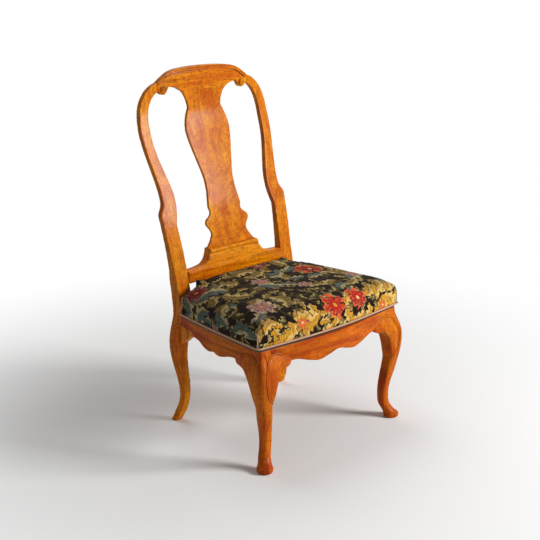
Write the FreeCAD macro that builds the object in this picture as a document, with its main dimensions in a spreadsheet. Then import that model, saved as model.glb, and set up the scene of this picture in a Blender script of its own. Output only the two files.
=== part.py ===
"""Spoon back side chair with cabriole legs and a loose upholstered seat.

Millimetres, +Z up.  The chair faces -Y.  While it is drawn, Y counts from the front face of the front
legs towards the back; at the end every piece is moved so that the origin lies on the floor, in the
middle of the chair's outline.  Left and right are the sitter's, so left is +X.
"""
import FreeCAD, Part
import math
import os
from types import SimpleNamespace

V = FreeCAD.Vector
doc = FreeCAD.newDocument("spoon_back_chair")

# Driving sizes, in millimetres
SIZES = [
    ("rail_top", 343, "floor to the top of the seat rails"),
    ("front_half_width", 274, "middle to the outer face of a front leg at the rails"),
    ("rear_half_width", 236, "middle to the outer face of a rear post at the rails"),
    ("seat_depth", 369, "front face of the front legs to the front face of the posts"),
    ("back_height", 687, "rail top to the top of the crest"),
    ("back_rake", 163, "how far the crest stands behind the foot of the back"),
    ("leg_block", 36, "square block at the top of a front leg"),
    ("knee_swell", 15.4, "how far a front knee stands out from the rails"),
    ("knee_width", 48, "front leg across the knee"),
    ("ankle_draw", 10.5, "how far a front ankle is drawn in from the rails"),
    ("ankle_width", 28, "front leg across the ankle"),
    ("pad_radius", 23.5, "round pad foot"),
    ("pad_height", 15, "round pad foot"),
    ("pad_tuck", 10.8, "middle of a pad, inside the outer face of its leg"),
    ("pad_advance", 2.8, "middle of a pad, before the front face of its leg"),
    ("post_width", 48, "rear post, side to side at the rails"),
    ("post_depth", 40, "rear post, front to back at the rails"),
    ("stile_depth", 18, "post above its hip, front to back"),
    ("stile_tip_depth", 16, "post at the shoulder, front to back"),
    ("rear_ankle_width", 24.5, "rear leg across the ankle"),
    ("rail_thickness", 22, "seat rails at their ends"),
    ("rail_drop", 46, "rail top to the arches of the shaped lower edge"),
    ("lobe_drop", 69, "rail top to the lobes of the shaped lower edge"),
    ("front_bow", 27, "how far the front rail bows out"),
    ("side_bow", 5, "how far the side rails bow out"),
    ("rear_rail_height", 62, "plain rail at the back"),
    ("rear_rail_setback", 8, "behind the front face of the posts"),
    ("tenon_length", 16, "tenons of the seat rails"),
    ("tenon_height", 30, "tenons of the seat rails"),
    ("tenon_thickness", 8, "tenons of the seat rails"),
    ("joint_clearance", 0.15, "room round a tenon in its mortise"),
    ("block_reach", 68, "knee blocks, along the rail"),
    ("corner_block_reach", 50, "glue blocks inside the corners"),
    ("corner_block_height", 34, "glue blocks inside the corners"),
    ("shoe_bottom", 84, "rail top to the underside of the shoe rail"),
    ("shoe_bar_height", 34, "plain bar of the shoe rail"),
    ("shoe_height", 83, "shoe rail, underside to its top moulding"),
    ("shoe_half_width", 93.5, "top of the moulded shoe"),
    ("splat_thickness", 9, "splat, front to back"),
    ("splat_setback", 11, "foot of the splat behind the front of the stiles"),
    ("splat_waist", 54.2, "half width of the slender waist"),
    ("splat_belly", 83.2, "half width of the vase"),
    ("splat_neck", 63, "half width under the crest"),
    ("splat_tenon", 12, "tongues at both ends of the splat"),
    ("crest_thickness", 17, "crest rail, front to back"),
    ("crest_bead", 6.5, "width of the bead on the top edge"),
    ("crest_bead_rise", 2.5, "bead, proud of the crest"),
    ("ear_radius", 14, "scrolled ears under the ends of the crest"),
    ("seat_overhang", 8.5, "loose seat beyond the rails"),
    ("seat_gap", 9, "loose seat clear of the posts"),
    ("seat_lift", 11.5, "rail top to the piping"),
    ("seat_edge_height", 66, "piping to the shoulder of the cushion"),
    ("seat_crown", 17, "shoulder of the cushion to its crown"),
    ("seat_frame_height", 19, "frame of the loose seat"),
    ("seat_frame_width", 52, "frame members of the loose seat"),
    ("cover_thickness", 1.8, "tapestry cover"),
    ("piping_radius", 3, "piping round the edge of the seat"),
    ("webbing_width", 48, "webbing strips"),
    ("webbing_thickness", 1.6, "webbing strips"),
    ("hessian_thickness", 1, "base cloth on the webbing"),
    ("soft_gap", 0.3, "room between soft layers"),
]
WEBS = 4
PIPING_SIDES = 6
LEG_FLATS = 2
SEAT_FLATS = 2
LEFT, RIGHT = 1, -1
SIDES = {LEFT: "left", RIGHT: "right"}

sheet = doc.addObject("Spreadsheet::Sheet", "Sizes")
for line, (alias, value, meaning) in enumerate(SIZES, start=1):
    sheet.set(f"A{line}", meaning)
    sheet.set(f"B{line}", str(value))
    sheet.setAlias(f"B{line}", alias)
doc.recompute()
S = SimpleNamespace(**{alias: float(sheet.get(alias)) for alias, _, _ in SIZES})

# Outlines are drawn in the plan (X, Y), front (X, Z) or side (Y, Z) plane
PLANES = {
    "plan": FreeCAD.Placement(),
    "front": FreeCAD.Placement(V(0, 0, 0), FreeCAD.Rotation(V(1, 0, 0), 90)),
    "side": FreeCAD.Placement(V(0, 0, 0), FreeCAD.Rotation(V(1, 1, 1), 120)),
}
pieces = []


def curve(points):
    """A straight line through two points, an arc through three, or one smooth curve through more."""
    points = [V(*point, 0) for point in points]
    if len(points) == 2:
        return Part.LineSegment(*points)
    if len(points) == 3:
        return Part.Arc(*points)
    spline = Part.BSplineCurve()
    spline.interpolate(points)
    return spline


def outline(name, plane, runs, height=0):
    """A closed sketch; each run of points starts where the one before it ends."""
    sketch = doc.addObject("Sketcher::SketchObject", name)
    sketch.Placement = PLANES[plane]
    sketch.Placement.Base.z = height
    for run in runs:
        sketch.addGeometry(curve(run) if isinstance(run, list) else run, False)
    return sketch


def closed(points):
    """The straight sides of a polygon."""
    return [[first, second] for first, second in zip(points, points[1:] + points[:1])]


def rounded(points, radii, loop):
    """Straight runs through points, joined by tangent arcs; without a radius the arc is as large as fits."""
    count = len(points)
    corners = range(count) if loop else range(1, count - 1)
    edges = []
    last = None if loop else points[0]
    first = None
    for corner in corners:
        before, here, after = points[corner - 1], points[corner], points[(corner + 1) % count]
        arriving = (here - before).normalize()
        leaving = (after - here).normalize()
        half_turn = arriving.getAngle(leaving) / 2
        if radii[corner]:
            reach = radii[corner] * math.tan(half_turn)
        else:
            reach = 0.45 * min((here - before).Length, (after - here).Length)
        radius = reach / math.tan(half_turn)
        start, end = here - arriving * reach, here + leaving * reach
        inward = (leaving - arriving).normalize()
        middle = here + inward * (radius / math.cos(half_turn) - radius)
        if last:
            edges.append(Part.LineSegment(last, start))
        edges.append(Part.Arc(start, middle, end))
        first = first or start
        last = end
    edges.append(Part.LineSegment(last, first if loop else points[-1]))
    return edges


def bent(points):
    """Straight runs through points of an outline, with the largest arcs that fit between them."""
    return rounded([V(*point, 0) for point in points], [None] * len(points), False)


def faceted(edges, flats):
    """The same closed path with each arc cut as flats, as an arris is before it is rubbed round."""
    path = []
    for edge in edges:
        if isinstance(edge, Part.LineSegment):
            path.append(edge)
        else:
            points = edge.discretize(Number=flats + 1)
            path += [Part.LineSegment(first, second) for first, second in zip(points, points[1:])]
    return path


def slab(name, plane, runs, span):
    """An outline extruded to both sides of its plane, over a span given as an expression."""
    solid = doc.addObject("Part::Extrusion", name)
    solid.Base = outline(name + "_outline", plane, runs)
    solid.DirMode = "Normal"
    solid.Solid = True
    solid.Symmetric = True
    solid.setExpression("LengthFwd", span)
    return solid


def plate(name, runs, bottom, height):
    """A plan outline extruded upwards; its bottom and height are expressions."""
    solid = doc.addObject("Part::Extrusion", name)
    solid.Base = outline(name + "_outline", "plan", runs)
    solid.DirMode = "Custom"
    solid.Dir = V(0, 0, 1)
    solid.Solid = True
    solid.setExpression("LengthFwd", height)
    solid.setExpression("Placement.Base.z", bottom)
    return solid


def block(name, x, y, z, length, width, height):
    """A box whose near corner and sides are expressions."""
    box = doc.addObject("Part::Box", name)
    for place, value in (("Placement.Base.x", x), ("Placement.Base.y", y), ("Placement.Base.z", z),
                         ("Length", length), ("Width", width), ("Height", height)):
        box.setExpression(place, value)
    return box


def common(name, *solids):
    """What the solids share, as a piece sawn from several sides keeps only that."""
    both = doc.addObject("Part::MultiCommon", name)
    both.Shapes = list(solids)
    return both


def fuse(name, *solids):
    whole = doc.addObject("Part::MultiFuse", name)
    whole.Shapes = list(solids)
    return whole


def cut(name, base, *tools):
    """The base less the tools."""
    rest = doc.addObject("Part::Cut", name)
    rest.Base = base
    rest.Tool = tools[0] if len(tools) == 1 else fuse(name + "_tools", *tools)
    return rest


def loft(name, sections, ruled=False):
    """A skin through closed sketches, smooth or in flat bands."""
    body = doc.addObject("Part::Loft", name)
    body.Sections = sections
    body.Solid = True
    body.Ruled = ruled
    body.MaxDegree = 3
    return body


def group(name, solids):
    """Several separate solids under one name."""
    together = doc.addObject("Part::Compound", name)
    together.Links = solids
    return together


def piece(label, solid):
    """Enters a finished sub-part under the label that names its file."""
    solid.Label = label
    pieces.append(solid)
    return solid


# The spoon curve of the back: share of its height, share of its rake
SPOON = [(0, 0), (0.188, 0.178), (0.309, 0.294), (0.454, 0.472), (0.600, 0.681),
         (0.745, 0.887), (0.818, 0.960), (0.890, 0.994), (1, 1)]


def spoon(setback, foot_setback=0):
    """Points of the curved back, seen from the side; the foot setback dies out towards the crest."""
    return [(S.seat_depth + setback + (1 - height) * foot_setback + rake * S.back_rake,
             S.rail_top + height * S.back_height) for height, rake in SPOON]


def up(share):
    """Height above the floor of a share of the back's height."""
    return S.rail_top + share * S.back_height


def spoon_sheet(name, setback, thickness, foot_setback=0):
    """A curved board as wide as the back, which the pieces of the back are sawn from."""
    front = spoon(setback, foot_setback)
    rear = spoon(setback + thickness, foot_setback)[::-1]
    runs = bent(front) + [[front[-1], rear[0]]] + bent(rear) + [[rear[-1], front[0]]]
    return slab(name, "side", runs, "4 * Sizes.rear_half_width")


# Front legs
# Share of the rail height, share of the swell (above) or draw (below) sideways and forwards, share of the
# step from the ankle's width to the knee's, corner radius
LEG_STATIONS = [
    (1.000, 0.00, 0.00, 0.50, 6), (0.953, 0.06, 0.12, 0.53, 8), (0.890, 0.47, 0.70, 0.76, 10),
    (0.817, 0.86, 1.25, 0.95, 11), (0.740, 0.96, 1.47, 1.00, 11), (0.657, 0.86, 1.45, 0.90, 11),
    (0.562, 0.48, 1.18, 0.70, 10), (0.444, -0.15, 0.70, 0.43, 9), (0.331, -1.10, 0.17, 0.16, 8),
    (0.231, -1.50, -0.08, 0.03, 7.5), (0.148, -1.28, -0.06, 0.04, 8), (0.105, -0.72, 0.26, 0.15, 10),
    (0.072, 0.00, 0.82, 0.40, 15), (0.034, 0.78, 1.66, 0.88, 22)]
KNEE_END = 8


def finer(stations):
    """Adds a station between each two, on the smooth curve through their neighbours."""
    result = stations[:1]
    behind, ahead = stations[:1] + stations, stations[2:] + stations[-1:]
    for before, here, there, after in zip(behind, stations, stations[1:], ahead):
        between = tuple((9 * (b + c) - a - d) / 16 for a, b, c, d in zip(before, here, there, after))
        result += [between, there]
    return result


def swell(share):
    """How far a leg stands out from the rails, or, below zero, is drawn in."""
    return share * (S.knee_swell if share > 0 else S.ankle_draw)


def rounded_square(name, near, far, radius, height):
    """A square between two opposite corners, with its own corners taken off, at a height."""
    points = [V(near.x, near.y, 0), V(far.x, near.y, 0), V(far.x, far.y, 0), V(near.x, far.y, 0)]
    return outline(name, "plan", faceted(rounded(points, [radius] * 4, True), LEG_FLATS), height)


def front_leg_blank(side):
    """The sawn and rounded leg, from the pad foot to the rail top, before it is mortised."""
    name = f"front_leg_{SIDES[side]}"
    sections = []
    for count, (share, sideways, forwards, fullness, radius) in enumerate(finer(LEG_STATIONS)):
        width = S.ankle_width + fullness * (S.knee_width - S.ankle_width)
        outer, front = S.front_half_width + swell(sideways), -swell(forwards)
        sections.append(rounded_square(f"{name}_section_{count}", V(side * outer, front),
                                       V(side * (outer - width), front + width), radius, share * S.rail_top))
    shaft = loft(name + "_shaft", sections, ruled=True)
    radius, tall = S.pad_radius, S.pad_height
    rim = [(0.84, 0), (0.96, 0.2), (1, 0.5), (0.99, 0.75), (0.94, 1)]
    profile = closed([(0, 0)] + [(out * radius, height * tall) for out, height in rim] + [(0, tall)])
    pad = doc.addObject("Part::Revolution", name + "_pad")
    pad.Source = outline(name + "_pad_outline", "front", profile)
    pad.Axis = V(0, 0, 1)
    pad.Angle = 360
    pad.Solid = True
    pad.setExpression("Placement.Base.x", f"{side} * (Sizes.front_half_width - Sizes.pad_tuck)")
    pad.setExpression("Placement.Base.y", "-Sizes.pad_advance")
    inner = f"({side} * (Sizes.front_half_width - Sizes.leg_block))"
    reach = "Sizes.leg_block"
    shoulder = "(Sizes.rail_top - Sizes.lobe_drop)"
    across = block(name + "_front_shoulder", f"{inner} - {1 if side > 0 else 0} * {reach}", f"-{reach}",
                   shoulder, reach, f"4 * {reach}", "2 * Sizes.lobe_drop")
    along = block(name + "_side_shoulder", f"{inner} - 2 * {reach}", reach, shoulder, f"4 * {reach}", reach,
                  "2 * Sizes.lobe_drop")
    top = block(name + "_block", f"{inner} - {0 if side > 0 else 1} * ({reach} - 4)", "4", shoulder,
                f"{reach} - 4", f"{reach} - 4", "Sizes.lobe_drop")
    return cut(name + "_blank", fuse(name + "_whole", shaft, pad, top), across, along)


# Rear posts
POST_HIP = 0.42
SHOULDER, SHOULDER_TOP, SHOULDER_LOW = 64, 0.942, 0.904


def stile_back(height):
    """Depth of a post at a share of the back's height: it flares below the hip."""
    flare = max(0, 1 - height / POST_HIP) ** 1.6
    taper = height * (S.stile_depth - S.stile_tip_depth)
    return S.stile_depth - taper + flare * (S.post_depth - S.stile_depth)


def post_blank(side):
    """Leg and stile in one, sawn to a front outline and to the spoon curve."""
    name = f"rear_post_{SIDES[side]}"
    wide, thin = S.post_width, S.rear_ankle_width
    foot, rail = 0, S.rail_top

    def across(offset, height):
        return (side * (S.rear_half_width + offset), height)

    leg_out = [across(-6.5, foot), across(-13, 0.09 * rail), across(-20, 0.22 * rail),
               across(-15.5, 0.37 * rail), across(0, 0.595 * rail), across(6, 0.745 * rail), across(0, rail)]
    stile_out = [across(0, rail), across(-0.8, up(0.19)), across(4.2, up(0.309)), across(7.6, up(0.4))]
    hip_out = [across(7.6, up(0.4)), across(5.1, up(0.424)), across(-4.5, up(0.445)), across(-8.6, up(0.485)),
               across(-4, up(0.55)), across(8.5, up(0.664)), across(12.3, up(0.728)), across(10.6, up(0.792)),
               across(1.7, up(0.854)), across(-18, up(0.9)), across(-37, up(0.925)),
               across(-SHOULDER, up(SHOULDER_TOP))]
    tip = [across(-SHOULDER, up(SHOULDER_TOP)), across(-SHOULDER, up(SHOULDER_LOW))]
    stile_in = [across(-SHOULDER, up(SHOULDER_LOW)), across(-41, up(0.876)), across(-25, up(0.827)),
                across(-20.3, up(0.76)), across(-23, up(0.68)), across(-44, up(0.549)), across(-53.6, up(0.47)),
                across(-48.6, up(0.41)), across(-40.7, up(0.371))]
    foot_in = [across(-40.7, up(0.371)), across(-45, up(0.28)), across(-wide, up(0.17))]
    knee_in = [across(-wide, up(0.17)), across(-wide, rail - 0.55 * S.lobe_drop)]
    leg_in = [across(-wide, rail - 0.55 * S.lobe_drop), across(-36.2, 0.66 * rail), across(-41, 0.445 * rail),
              across(-20 - thin, 0.22 * rail), across(-38.5, 0.07 * rail), across(-33, foot)]
    front = slab(name + "_front", "front",
                 [leg_out, stile_out, hip_out, tip, stile_in, foot_in, knee_in, leg_in,
                  [across(-33, foot), across(-6.5, foot)]], "4 * Sizes.seat_depth")
    front_face = S.seat_depth
    rear_face = S.seat_depth + S.post_depth
    leg_front = [(front_face + 48.5, foot), (front_face + 36, 0.075 * rail), (front_face + 22.5, 0.22 * rail),
                 (front_face + 19.5, 0.37 * rail), (front_face + 20.8, 0.6 * rail),
                 (front_face + 13, 0.79 * rail), (front_face, rail)]
    stile_rear = [(y + stile_back(height), z) for (y, z), (height, _) in zip(spoon(0), SPOON)]
    leg_rear = [(rear_face + 2, rail + 0.2 * S.shoe_bottom), (rear_face, rail), (rear_face + 13, 0.77 * rail),
                (rear_face + 15, 0.66 * rail), (rear_face + 6.5, 0.43 * rail), (rear_face + 3, 0.29 * rail),
                (rear_face + 5.5, 0.19 * rail), (rear_face + 20, 0.075 * rail), (rear_face + 31.5, foot)]
    side_runs = [leg_front] + bent(spoon(0)) + [[spoon(0)[-1], stile_rear[-1]]] + bent(stile_rear[:0:-1])
    side_runs += [stile_rear[1:2] + leg_rear, [(rear_face + 31.5, foot), (front_face + 48.5, foot)]]
    spooned = slab(name + "_side", "side", side_runs, "4 * Sizes.rear_half_width")
    return common(name + "_blank", front, spooned)


# Seat rails
def side_face(y):
    """Outer face of a side rail, as a distance from the middle, at a distance from the front."""
    share = (y - S.leg_block) / (S.seat_depth - S.leg_block)
    straight = S.front_half_width + 1.5 - share * (S.front_half_width - S.rear_half_width)
    return straight + 4 * S.side_bow * share * (1 - share)


def side_inner(y):
    """Straight inner face of a side rail, as a distance from the middle."""
    start, end = S.leg_block, S.seat_depth + S.post_depth / 2
    share = (y - start) / (end - start)
    return (1 - share) * side_face(start) + share * side_face(end) - S.rail_thickness


def front_face(x):
    """Front face of the front rail, whose bow dies into the legs."""
    share = min(abs(x) / (S.front_half_width - S.leg_block), 1)
    return -S.front_bow * (1 - share ** 1.3)


def front_rail_blank():
    half = S.front_half_width - S.leg_block
    top = S.rail_top
    arch, lobe = top - S.rail_drop, top - S.lobe_drop
    stations = [share * half for share in (-1, -0.75, -0.5, -0.25, 0, 0.25, 0.5, 0.75, 1)]
    bow = [(x, front_face(x)) for x in stations]
    inner = S.rail_thickness
    back = [[bow[-1], (half, inner)], [(half, inner), (-half, inner)], [(-half, inner), bow[0]]]
    plan = plate("front_rail_plan", bent(bow) + back, "Sizes.rail_top - 2 * Sizes.lobe_drop",
                 "2 * Sizes.lobe_drop")
    edge = [(-half, arch - 4), (-0.72 * half, arch), (-0.62 * half, arch - 1), (-0.44 * half, lobe + 8),
            (-0.30 * half, lobe), (-0.15 * half, lobe + 8), (0, arch - 3)]
    mirrored = [(-x, z) for x, z in reversed(edge)]
    upper = [[mirrored[-1], (half, top)], [(half, top), (-half, top)], [(-half, top), edge[0]]]
    elevation = slab("front_rail_elevation", "front", bent(edge + mirrored[1:]) + upper, "4 * Sizes.seat_depth")
    return common("front_rail_blank", plan, elevation)


def side_strip(name, side, start, end, bottom, height):
    """The curved plan of a side rail, between two distances from the front."""
    stations = [start + share * (end - start) for share in (0, 0.25, 0.5, 0.75, 1)]
    outer = [(side * side_face(y), y) for y in stations]
    inner = [(side * side_inner(start), start), (side * side_inner(end), end)]
    runs = bent(outer) + [[outer[-1], inner[1]], [inner[1], inner[0]], [inner[0], outer[0]]]
    return plate(name, runs, bottom, height)


def side_rail_blank(side):
    name = f"side_rail_{SIDES[side]}"
    start, end = S.leg_block, S.seat_depth + S.post_depth / 2
    top = S.rail_top
    arch, lobe = top - S.rail_drop, top - S.lobe_drop
    span = S.seat_depth - S.leg_block
    middle = (start + 0.51 * span, lobe + 12.5)
    fall = [(start, arch), (start + 0.25 * span, arch), (start + 0.31 * span, arch - 5),
            (start + 0.37 * span, lobe + 11), (start + 0.44 * span, lobe + 6), middle]
    rise = [middle, (start + 0.575 * span, lobe + 6), (start + 0.65 * span, lobe + 11),
            (start + 0.72 * span, arch + 1), (start + 0.78 * span, arch + 3), (end, arch + 3)]
    elevation = slab(name + "_elevation", "side", bent(fall) + bent(rise) + [
        [(end, arch + 3), (end, top)], [(end, top), (start, top)], [(start, top), (start, arch)]],
                     "4 * Sizes.front_half_width")
    strip = side_strip(name + "_plan", side, start, end, "Sizes.rail_top - 2 * Sizes.lobe_drop",
                       "2 * Sizes.lobe_drop")
    return common(name + "_blank", strip, elevation)


def rear_rail_blank():
    inner = "(Sizes.rear_half_width - Sizes.post_width)"
    return block("rear_rail_blank", f"-{inner}", "Sizes.seat_depth + Sizes.rear_rail_setback",
                 "Sizes.rail_top - Sizes.rear_rail_height", f"2 * {inner}", "Sizes.rail_thickness + 4",
                 "Sizes.rear_rail_height")


# Tenons of the seat rails; the mortise is the same block with room round it
TENON_TOP = "(Sizes.rail_top - 8)"


def tenon(name, x, y, length, width, room):
    """A rail tenon between two distances on X and Y, given as expressions."""
    gap = "Sizes.joint_clearance" if room else "0"
    return block(name, f"{x} - {gap}", f"{y} - {gap}", f"{TENON_TOP} - Sizes.tenon_height - {gap}",
                 f"{length} + 2 * {gap}", f"{width} + 2 * {gap}", f"Sizes.tenon_height + 2 * {gap}")


def front_tenon(side, room):
    shoulder = "(Sizes.front_half_width - Sizes.leg_block)"
    start = f"{shoulder} - 1" if side > 0 else f"-{shoulder} - Sizes.tenon_length"
    return tenon(f"front_{'mortise' if room else 'tenon'}_{SIDES[side]}", start, "5",
                 "Sizes.tenon_length + 1", "Sizes.tenon_thickness", room)


def side_front_tenon(side, room):
    middle = "(Sizes.front_half_width - Sizes.rail_thickness / 2)"
    start = f"{side} * {middle} - Sizes.tenon_thickness / 2"
    return tenon(f"side_front_{'mortise' if room else 'tenon'}_{SIDES[side]}", start,
                 "Sizes.leg_block - Sizes.tenon_length", "Sizes.tenon_thickness", "Sizes.tenon_length + 1", room)


def side_rear_tenon(side, room):
    middle = "(Sizes.rear_half_width - Sizes.rail_thickness / 2)"
    start = f"{side} * {middle} - Sizes.tenon_thickness / 2"
    return tenon(f"side_rear_{'mortise' if room else 'tenon'}_{SIDES[side]}", start,
                 "Sizes.seat_depth - 2", "Sizes.tenon_thickness", "Sizes.tenon_length + 8", room)


def rear_tenon(side, room):
    inner = "(Sizes.rear_half_width - Sizes.post_width)"
    start = f"{inner} - 2" if side > 0 else f"-{inner} - Sizes.tenon_length"
    behind = "Sizes.seat_depth + Sizes.rear_rail_setback + Sizes.rail_thickness - Sizes.tenon_thickness / 2"
    return tenon(f"rear_{'mortise' if room else 'tenon'}_{SIDES[side]}", start, behind, "Sizes.tenon_length + 2",
                 "Sizes.tenon_thickness", room)


# The back
def shoe_blank():
    """Cross rail with the moulded shoe that holds the splat."""
    bottom = S.rail_top + S.shoe_bottom
    bar, top = bottom + S.shoe_bar_height, bottom + S.shoe_height
    foot = S.seat_depth + 19
    profile = [[(foot, bottom), (foot + 1, bar - 2)], [(foot + 1, bar - 2), (foot + 3, bar)],
               [(foot + 3, bar), (foot + 6, bar)],
               [(foot + 6, bar), (foot + 8, bar + 0.3 * (top - bar)), (foot + 13.5, top - 13)],
               [(foot + 13.5, top - 13), (foot + 11.5, top - 11)],
               [(foot + 11.5, top - 11), (foot + 10.5, top - 6.5), (foot + 13, top - 2)],
               [(foot + 13, top - 2), (foot + 15, top)], [(foot + 15, top), (foot + 43, top)],
               [(foot + 43, top), (foot + 29, bottom)], [(foot + 29, bottom), (foot, bottom)]]
    half, end = S.shoe_half_width, S.rear_half_width - S.post_width
    sweep = [(half, top), (half + 4, top - 13), (half + 11, top - 28), (half + 27, top - 42),
             (half + 54, bar + 2), (end, bar)]
    mirrored = [(-x, z) for x, z in reversed(sweep)]
    bar_ends = [[(end, bar), (end, bottom)], [(end, bottom), (-end, bottom)], [(-end, bottom), (-end, bar)]]
    face = [[(-half, top), (half, top)]] + bent(sweep) + bar_ends + bent(mirrored)
    return common("shoe_blank", slab("shoe_profile", "side", profile, "4 * Sizes.rear_half_width"),
                  slab("shoe_face", "front", face, "4 * Sizes.seat_depth"))


def shoe_tenon(side, room):
    gap = "Sizes.joint_clearance" if room else "0"
    inner = "(Sizes.rear_half_width - Sizes.post_width)"
    start = f"{inner} - 3" if side > 0 else f"-{inner} - 14"
    return block(f"shoe_{'mortise' if room else 'tenon'}_{SIDES[side]}", f"{start} - {gap}",
                 f"Sizes.seat_depth + 28 - {gap}", f"Sizes.rail_top + Sizes.shoe_bottom + 5 - {gap}",
                 f"17 + 2 * {gap}", f"9 + 2 * {gap}", f"Sizes.shoe_bar_height - 10 + 2 * {gap}")


CREST_SEAM = 0.901


def splat_tongue(name, room):
    """The ends of the splat that are let into the crest and the shoe."""
    gap = S.joint_clearance if room else 0
    half = S.splat_neck - 8 + gap
    top = up(CREST_SEAM) + S.splat_tenon + gap
    low = S.rail_top + S.shoe_bottom + S.shoe_height - S.splat_tenon - gap
    runs = closed([(-half, low), (half, low), (half, top), (-half, top)])
    return common(name, slab(name + "_face", "front", runs, "4 * Sizes.seat_depth"),
                  spoon_sheet(name + "_sheet", -gap, S.splat_thickness + 2 * gap, S.splat_setback))


def splat():
    seam, foot = up(CREST_SEAM), S.rail_top + S.shoe_bottom + S.shoe_height
    neck, belly, waist = S.splat_neck, S.splat_belly, S.splat_waist
    right = [[(neck + 25, seam), (neck + 14.5, seam - 11), (neck + 5.5, seam - 28), (neck, up(0.824))],
             [(neck, up(0.824)), (0.82 * neck + 0.18 * belly + 8, up(0.790)), (belly, up(0.742)),
              (belly - 4.5, up(0.675)), (waist + 13.4, up(0.607)), (waist + 2.7, up(0.539)),
              (waist, up(0.498)), (waist + 3.4, up(0.456)), (waist + 9, up(0.406))],
             [(waist + 9, up(0.406)), (waist + 5.4, up(0.389))],
             [(waist + 5.4, up(0.389)), (waist + 10.5, up(0.372)), (waist + 24, up(0.358)),
              (waist + 29.7, up(0.342)), (waist + 24, up(0.325)), (waist + 14.5, up(0.293))],
             [(waist + 14.5, up(0.293)), (waist + 21, up(0.275)), (S.shoe_half_width, foot)]]
    left = [[(-x, z) for x, z in reversed(run)] for run in reversed(right)]
    runs = right + [[(S.shoe_half_width, foot), (-S.shoe_half_width, foot)]] + left
    runs.append([(-neck - 25, seam), (neck + 25, seam)])
    body = common("splat_body", slab("splat_face", "front", runs, "4 * Sizes.seat_depth"),
                  spoon_sheet("splat_sheet", 0, S.splat_thickness, S.splat_setback))
    return fuse("splat", body, splat_tongue("splat_tongues", False))


def crest():
    """Crest rail with scrolled ears and a bead along its top edge."""
    end, seam, top = S.rear_half_width - SHOULDER, up(CREST_SEAM), up(1)
    notch, low = up(SHOULDER_TOP), up(SHOULDER_LOW)
    ear = S.ear_radius
    ear_x, ear_z = end - 20, low + 4
    rise = [(end, notch), (end - 14, up(0.957)), (end - 39, up(0.98)), (end - 64, up(0.991)),
            (end - 115, up(0.9985)), (0, top)]
    under = [(end - 41, low + 11), (end - 56, low + 9), (end - 67, low + 6.5), (S.splat_neck + 25, seam)]
    edge = [(-x, z) for x, z in rise] + [(x, z) for x, z in reversed(rise[:-1])]
    ear_in, ear_out, ear_low = ear_x - 0.94 * ear, ear_x + 0.94 * ear, ear_z - 0.34 * ear
    ears = [Part.Arc(V(side * ear_out, ear_low, 0), V(side * ear_x, ear_z - ear, 0), V(side * ear_in, ear_low, 0))
            for side in (LEFT, RIGHT)]
    far_under = [(-x, z) for x, z in reversed(under)]
    runs = bent(edge) + [[(end, notch), (end, low)], [(end, low), (ear_out, ear_low)], ears[0],
                         [(ear_in, ear_low), under[0]], under, [under[-1], far_under[0]], far_under,
                         [far_under[-1], (-ear_in, ear_low)], ears[1], [(-ear_out, ear_low), (-end, low)],
                         [(-end, low), (-end, notch)]]
    board = common("crest_board", slab("crest_face", "front", runs, "4 * Sizes.seat_depth"),
                   spoon_sheet("crest_sheet", 0, S.crest_thickness))
    lower = [(x * (1 - S.crest_bead / end), z - S.crest_bead) for x, z in edge]
    band = bent(edge) + [[edge[-1], lower[-1]]] + bent(lower[::-1]) + [[lower[0], edge[0]]]
    bead = common("crest_bead", slab("crest_bead_face", "front", band, "4 * Sizes.seat_depth"),
                  spoon_sheet("crest_bead_sheet", -S.crest_bead_rise, S.crest_bead_rise + 2))
    buttons = []
    for side in (LEFT, RIGHT):
        button = doc.addObject("Part::Cylinder", f"crest_ear_{SIDES[side]}")
        button.setExpression("Radius", "Sizes.ear_radius - 3")
        button.setExpression("Height", "Sizes.crest_thickness / 2")
        button.Placement = FreeCAD.Placement(V(side * ear_x, S.seat_depth + S.back_rake - 4.5, ear_z),
                                             FreeCAD.Rotation(V(1, 0, 0), -90))
        buttons.append(button)
    whole = fuse("crest_whole", board, bead, *buttons)
    return cut("crest_rail", whole, splat_tongue("crest_mortise", True))


# Knee blocks, which carry the curve of a leg into the rails
def knee_profile(name, plane, sign):
    """The outer curve of a front leg, with solid behind it, extruded along a rail."""
    points = []
    for share, sideways, forwards, _, _ in finer(LEG_STATIONS[:KNEE_END]):
        reach = S.front_half_width + swell(sideways) if plane == "front" else swell(forwards)
        points.append((sign * reach, share * S.rail_top))
    back = sign * (S.front_half_width - S.rail_thickness) if plane == "front" else S.rail_thickness
    points += [(back, points[-1][1]), (back, points[0][1])]
    return slab(name, plane, closed(points), "4 * Sizes.front_half_width")


def bracket_edge(near, far, lag, sign):
    """Face of a knee block: near is at the leg, far at the end along the rail, and the lag is how much further
    in the leg's own face lies below the rail."""
    top, arch = S.rail_top - 12, S.rail_top - S.rail_drop
    reach = far - near
    toe, drop = 0.56 * S.rail_top, S.rail_top * 0.44 - S.rail_drop

    def along(share, lagging):
        return near + share * reach - lagging * lag * math.copysign(1, reach)

    root = along(-0.25, 0)
    lower = [(root, toe - 6), (along(0, 1), toe + 8), (along(0.10, 0.9), toe + 0.39 * drop),
             (along(0.20, 0.7), toe + 0.67 * drop), (along(0.36, 0.3), arch - 16),
             (along(0.56, 0), arch - 11.5), (along(0.85, 0), arch - 11), (along(0.97, 0), arch - 7),
             (far, arch + 1)]
    upper = [(far, arch + 1), (along(0.85, 0), arch + 14), (along(0.5, 0), arch + 27), (root, top)]

    def turned(points):
        return bent([(sign * out, height) for out, height in points])

    return turned(lower) + turned(upper) + [[(sign * root, top), (sign * root, toe - 6)]]


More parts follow.
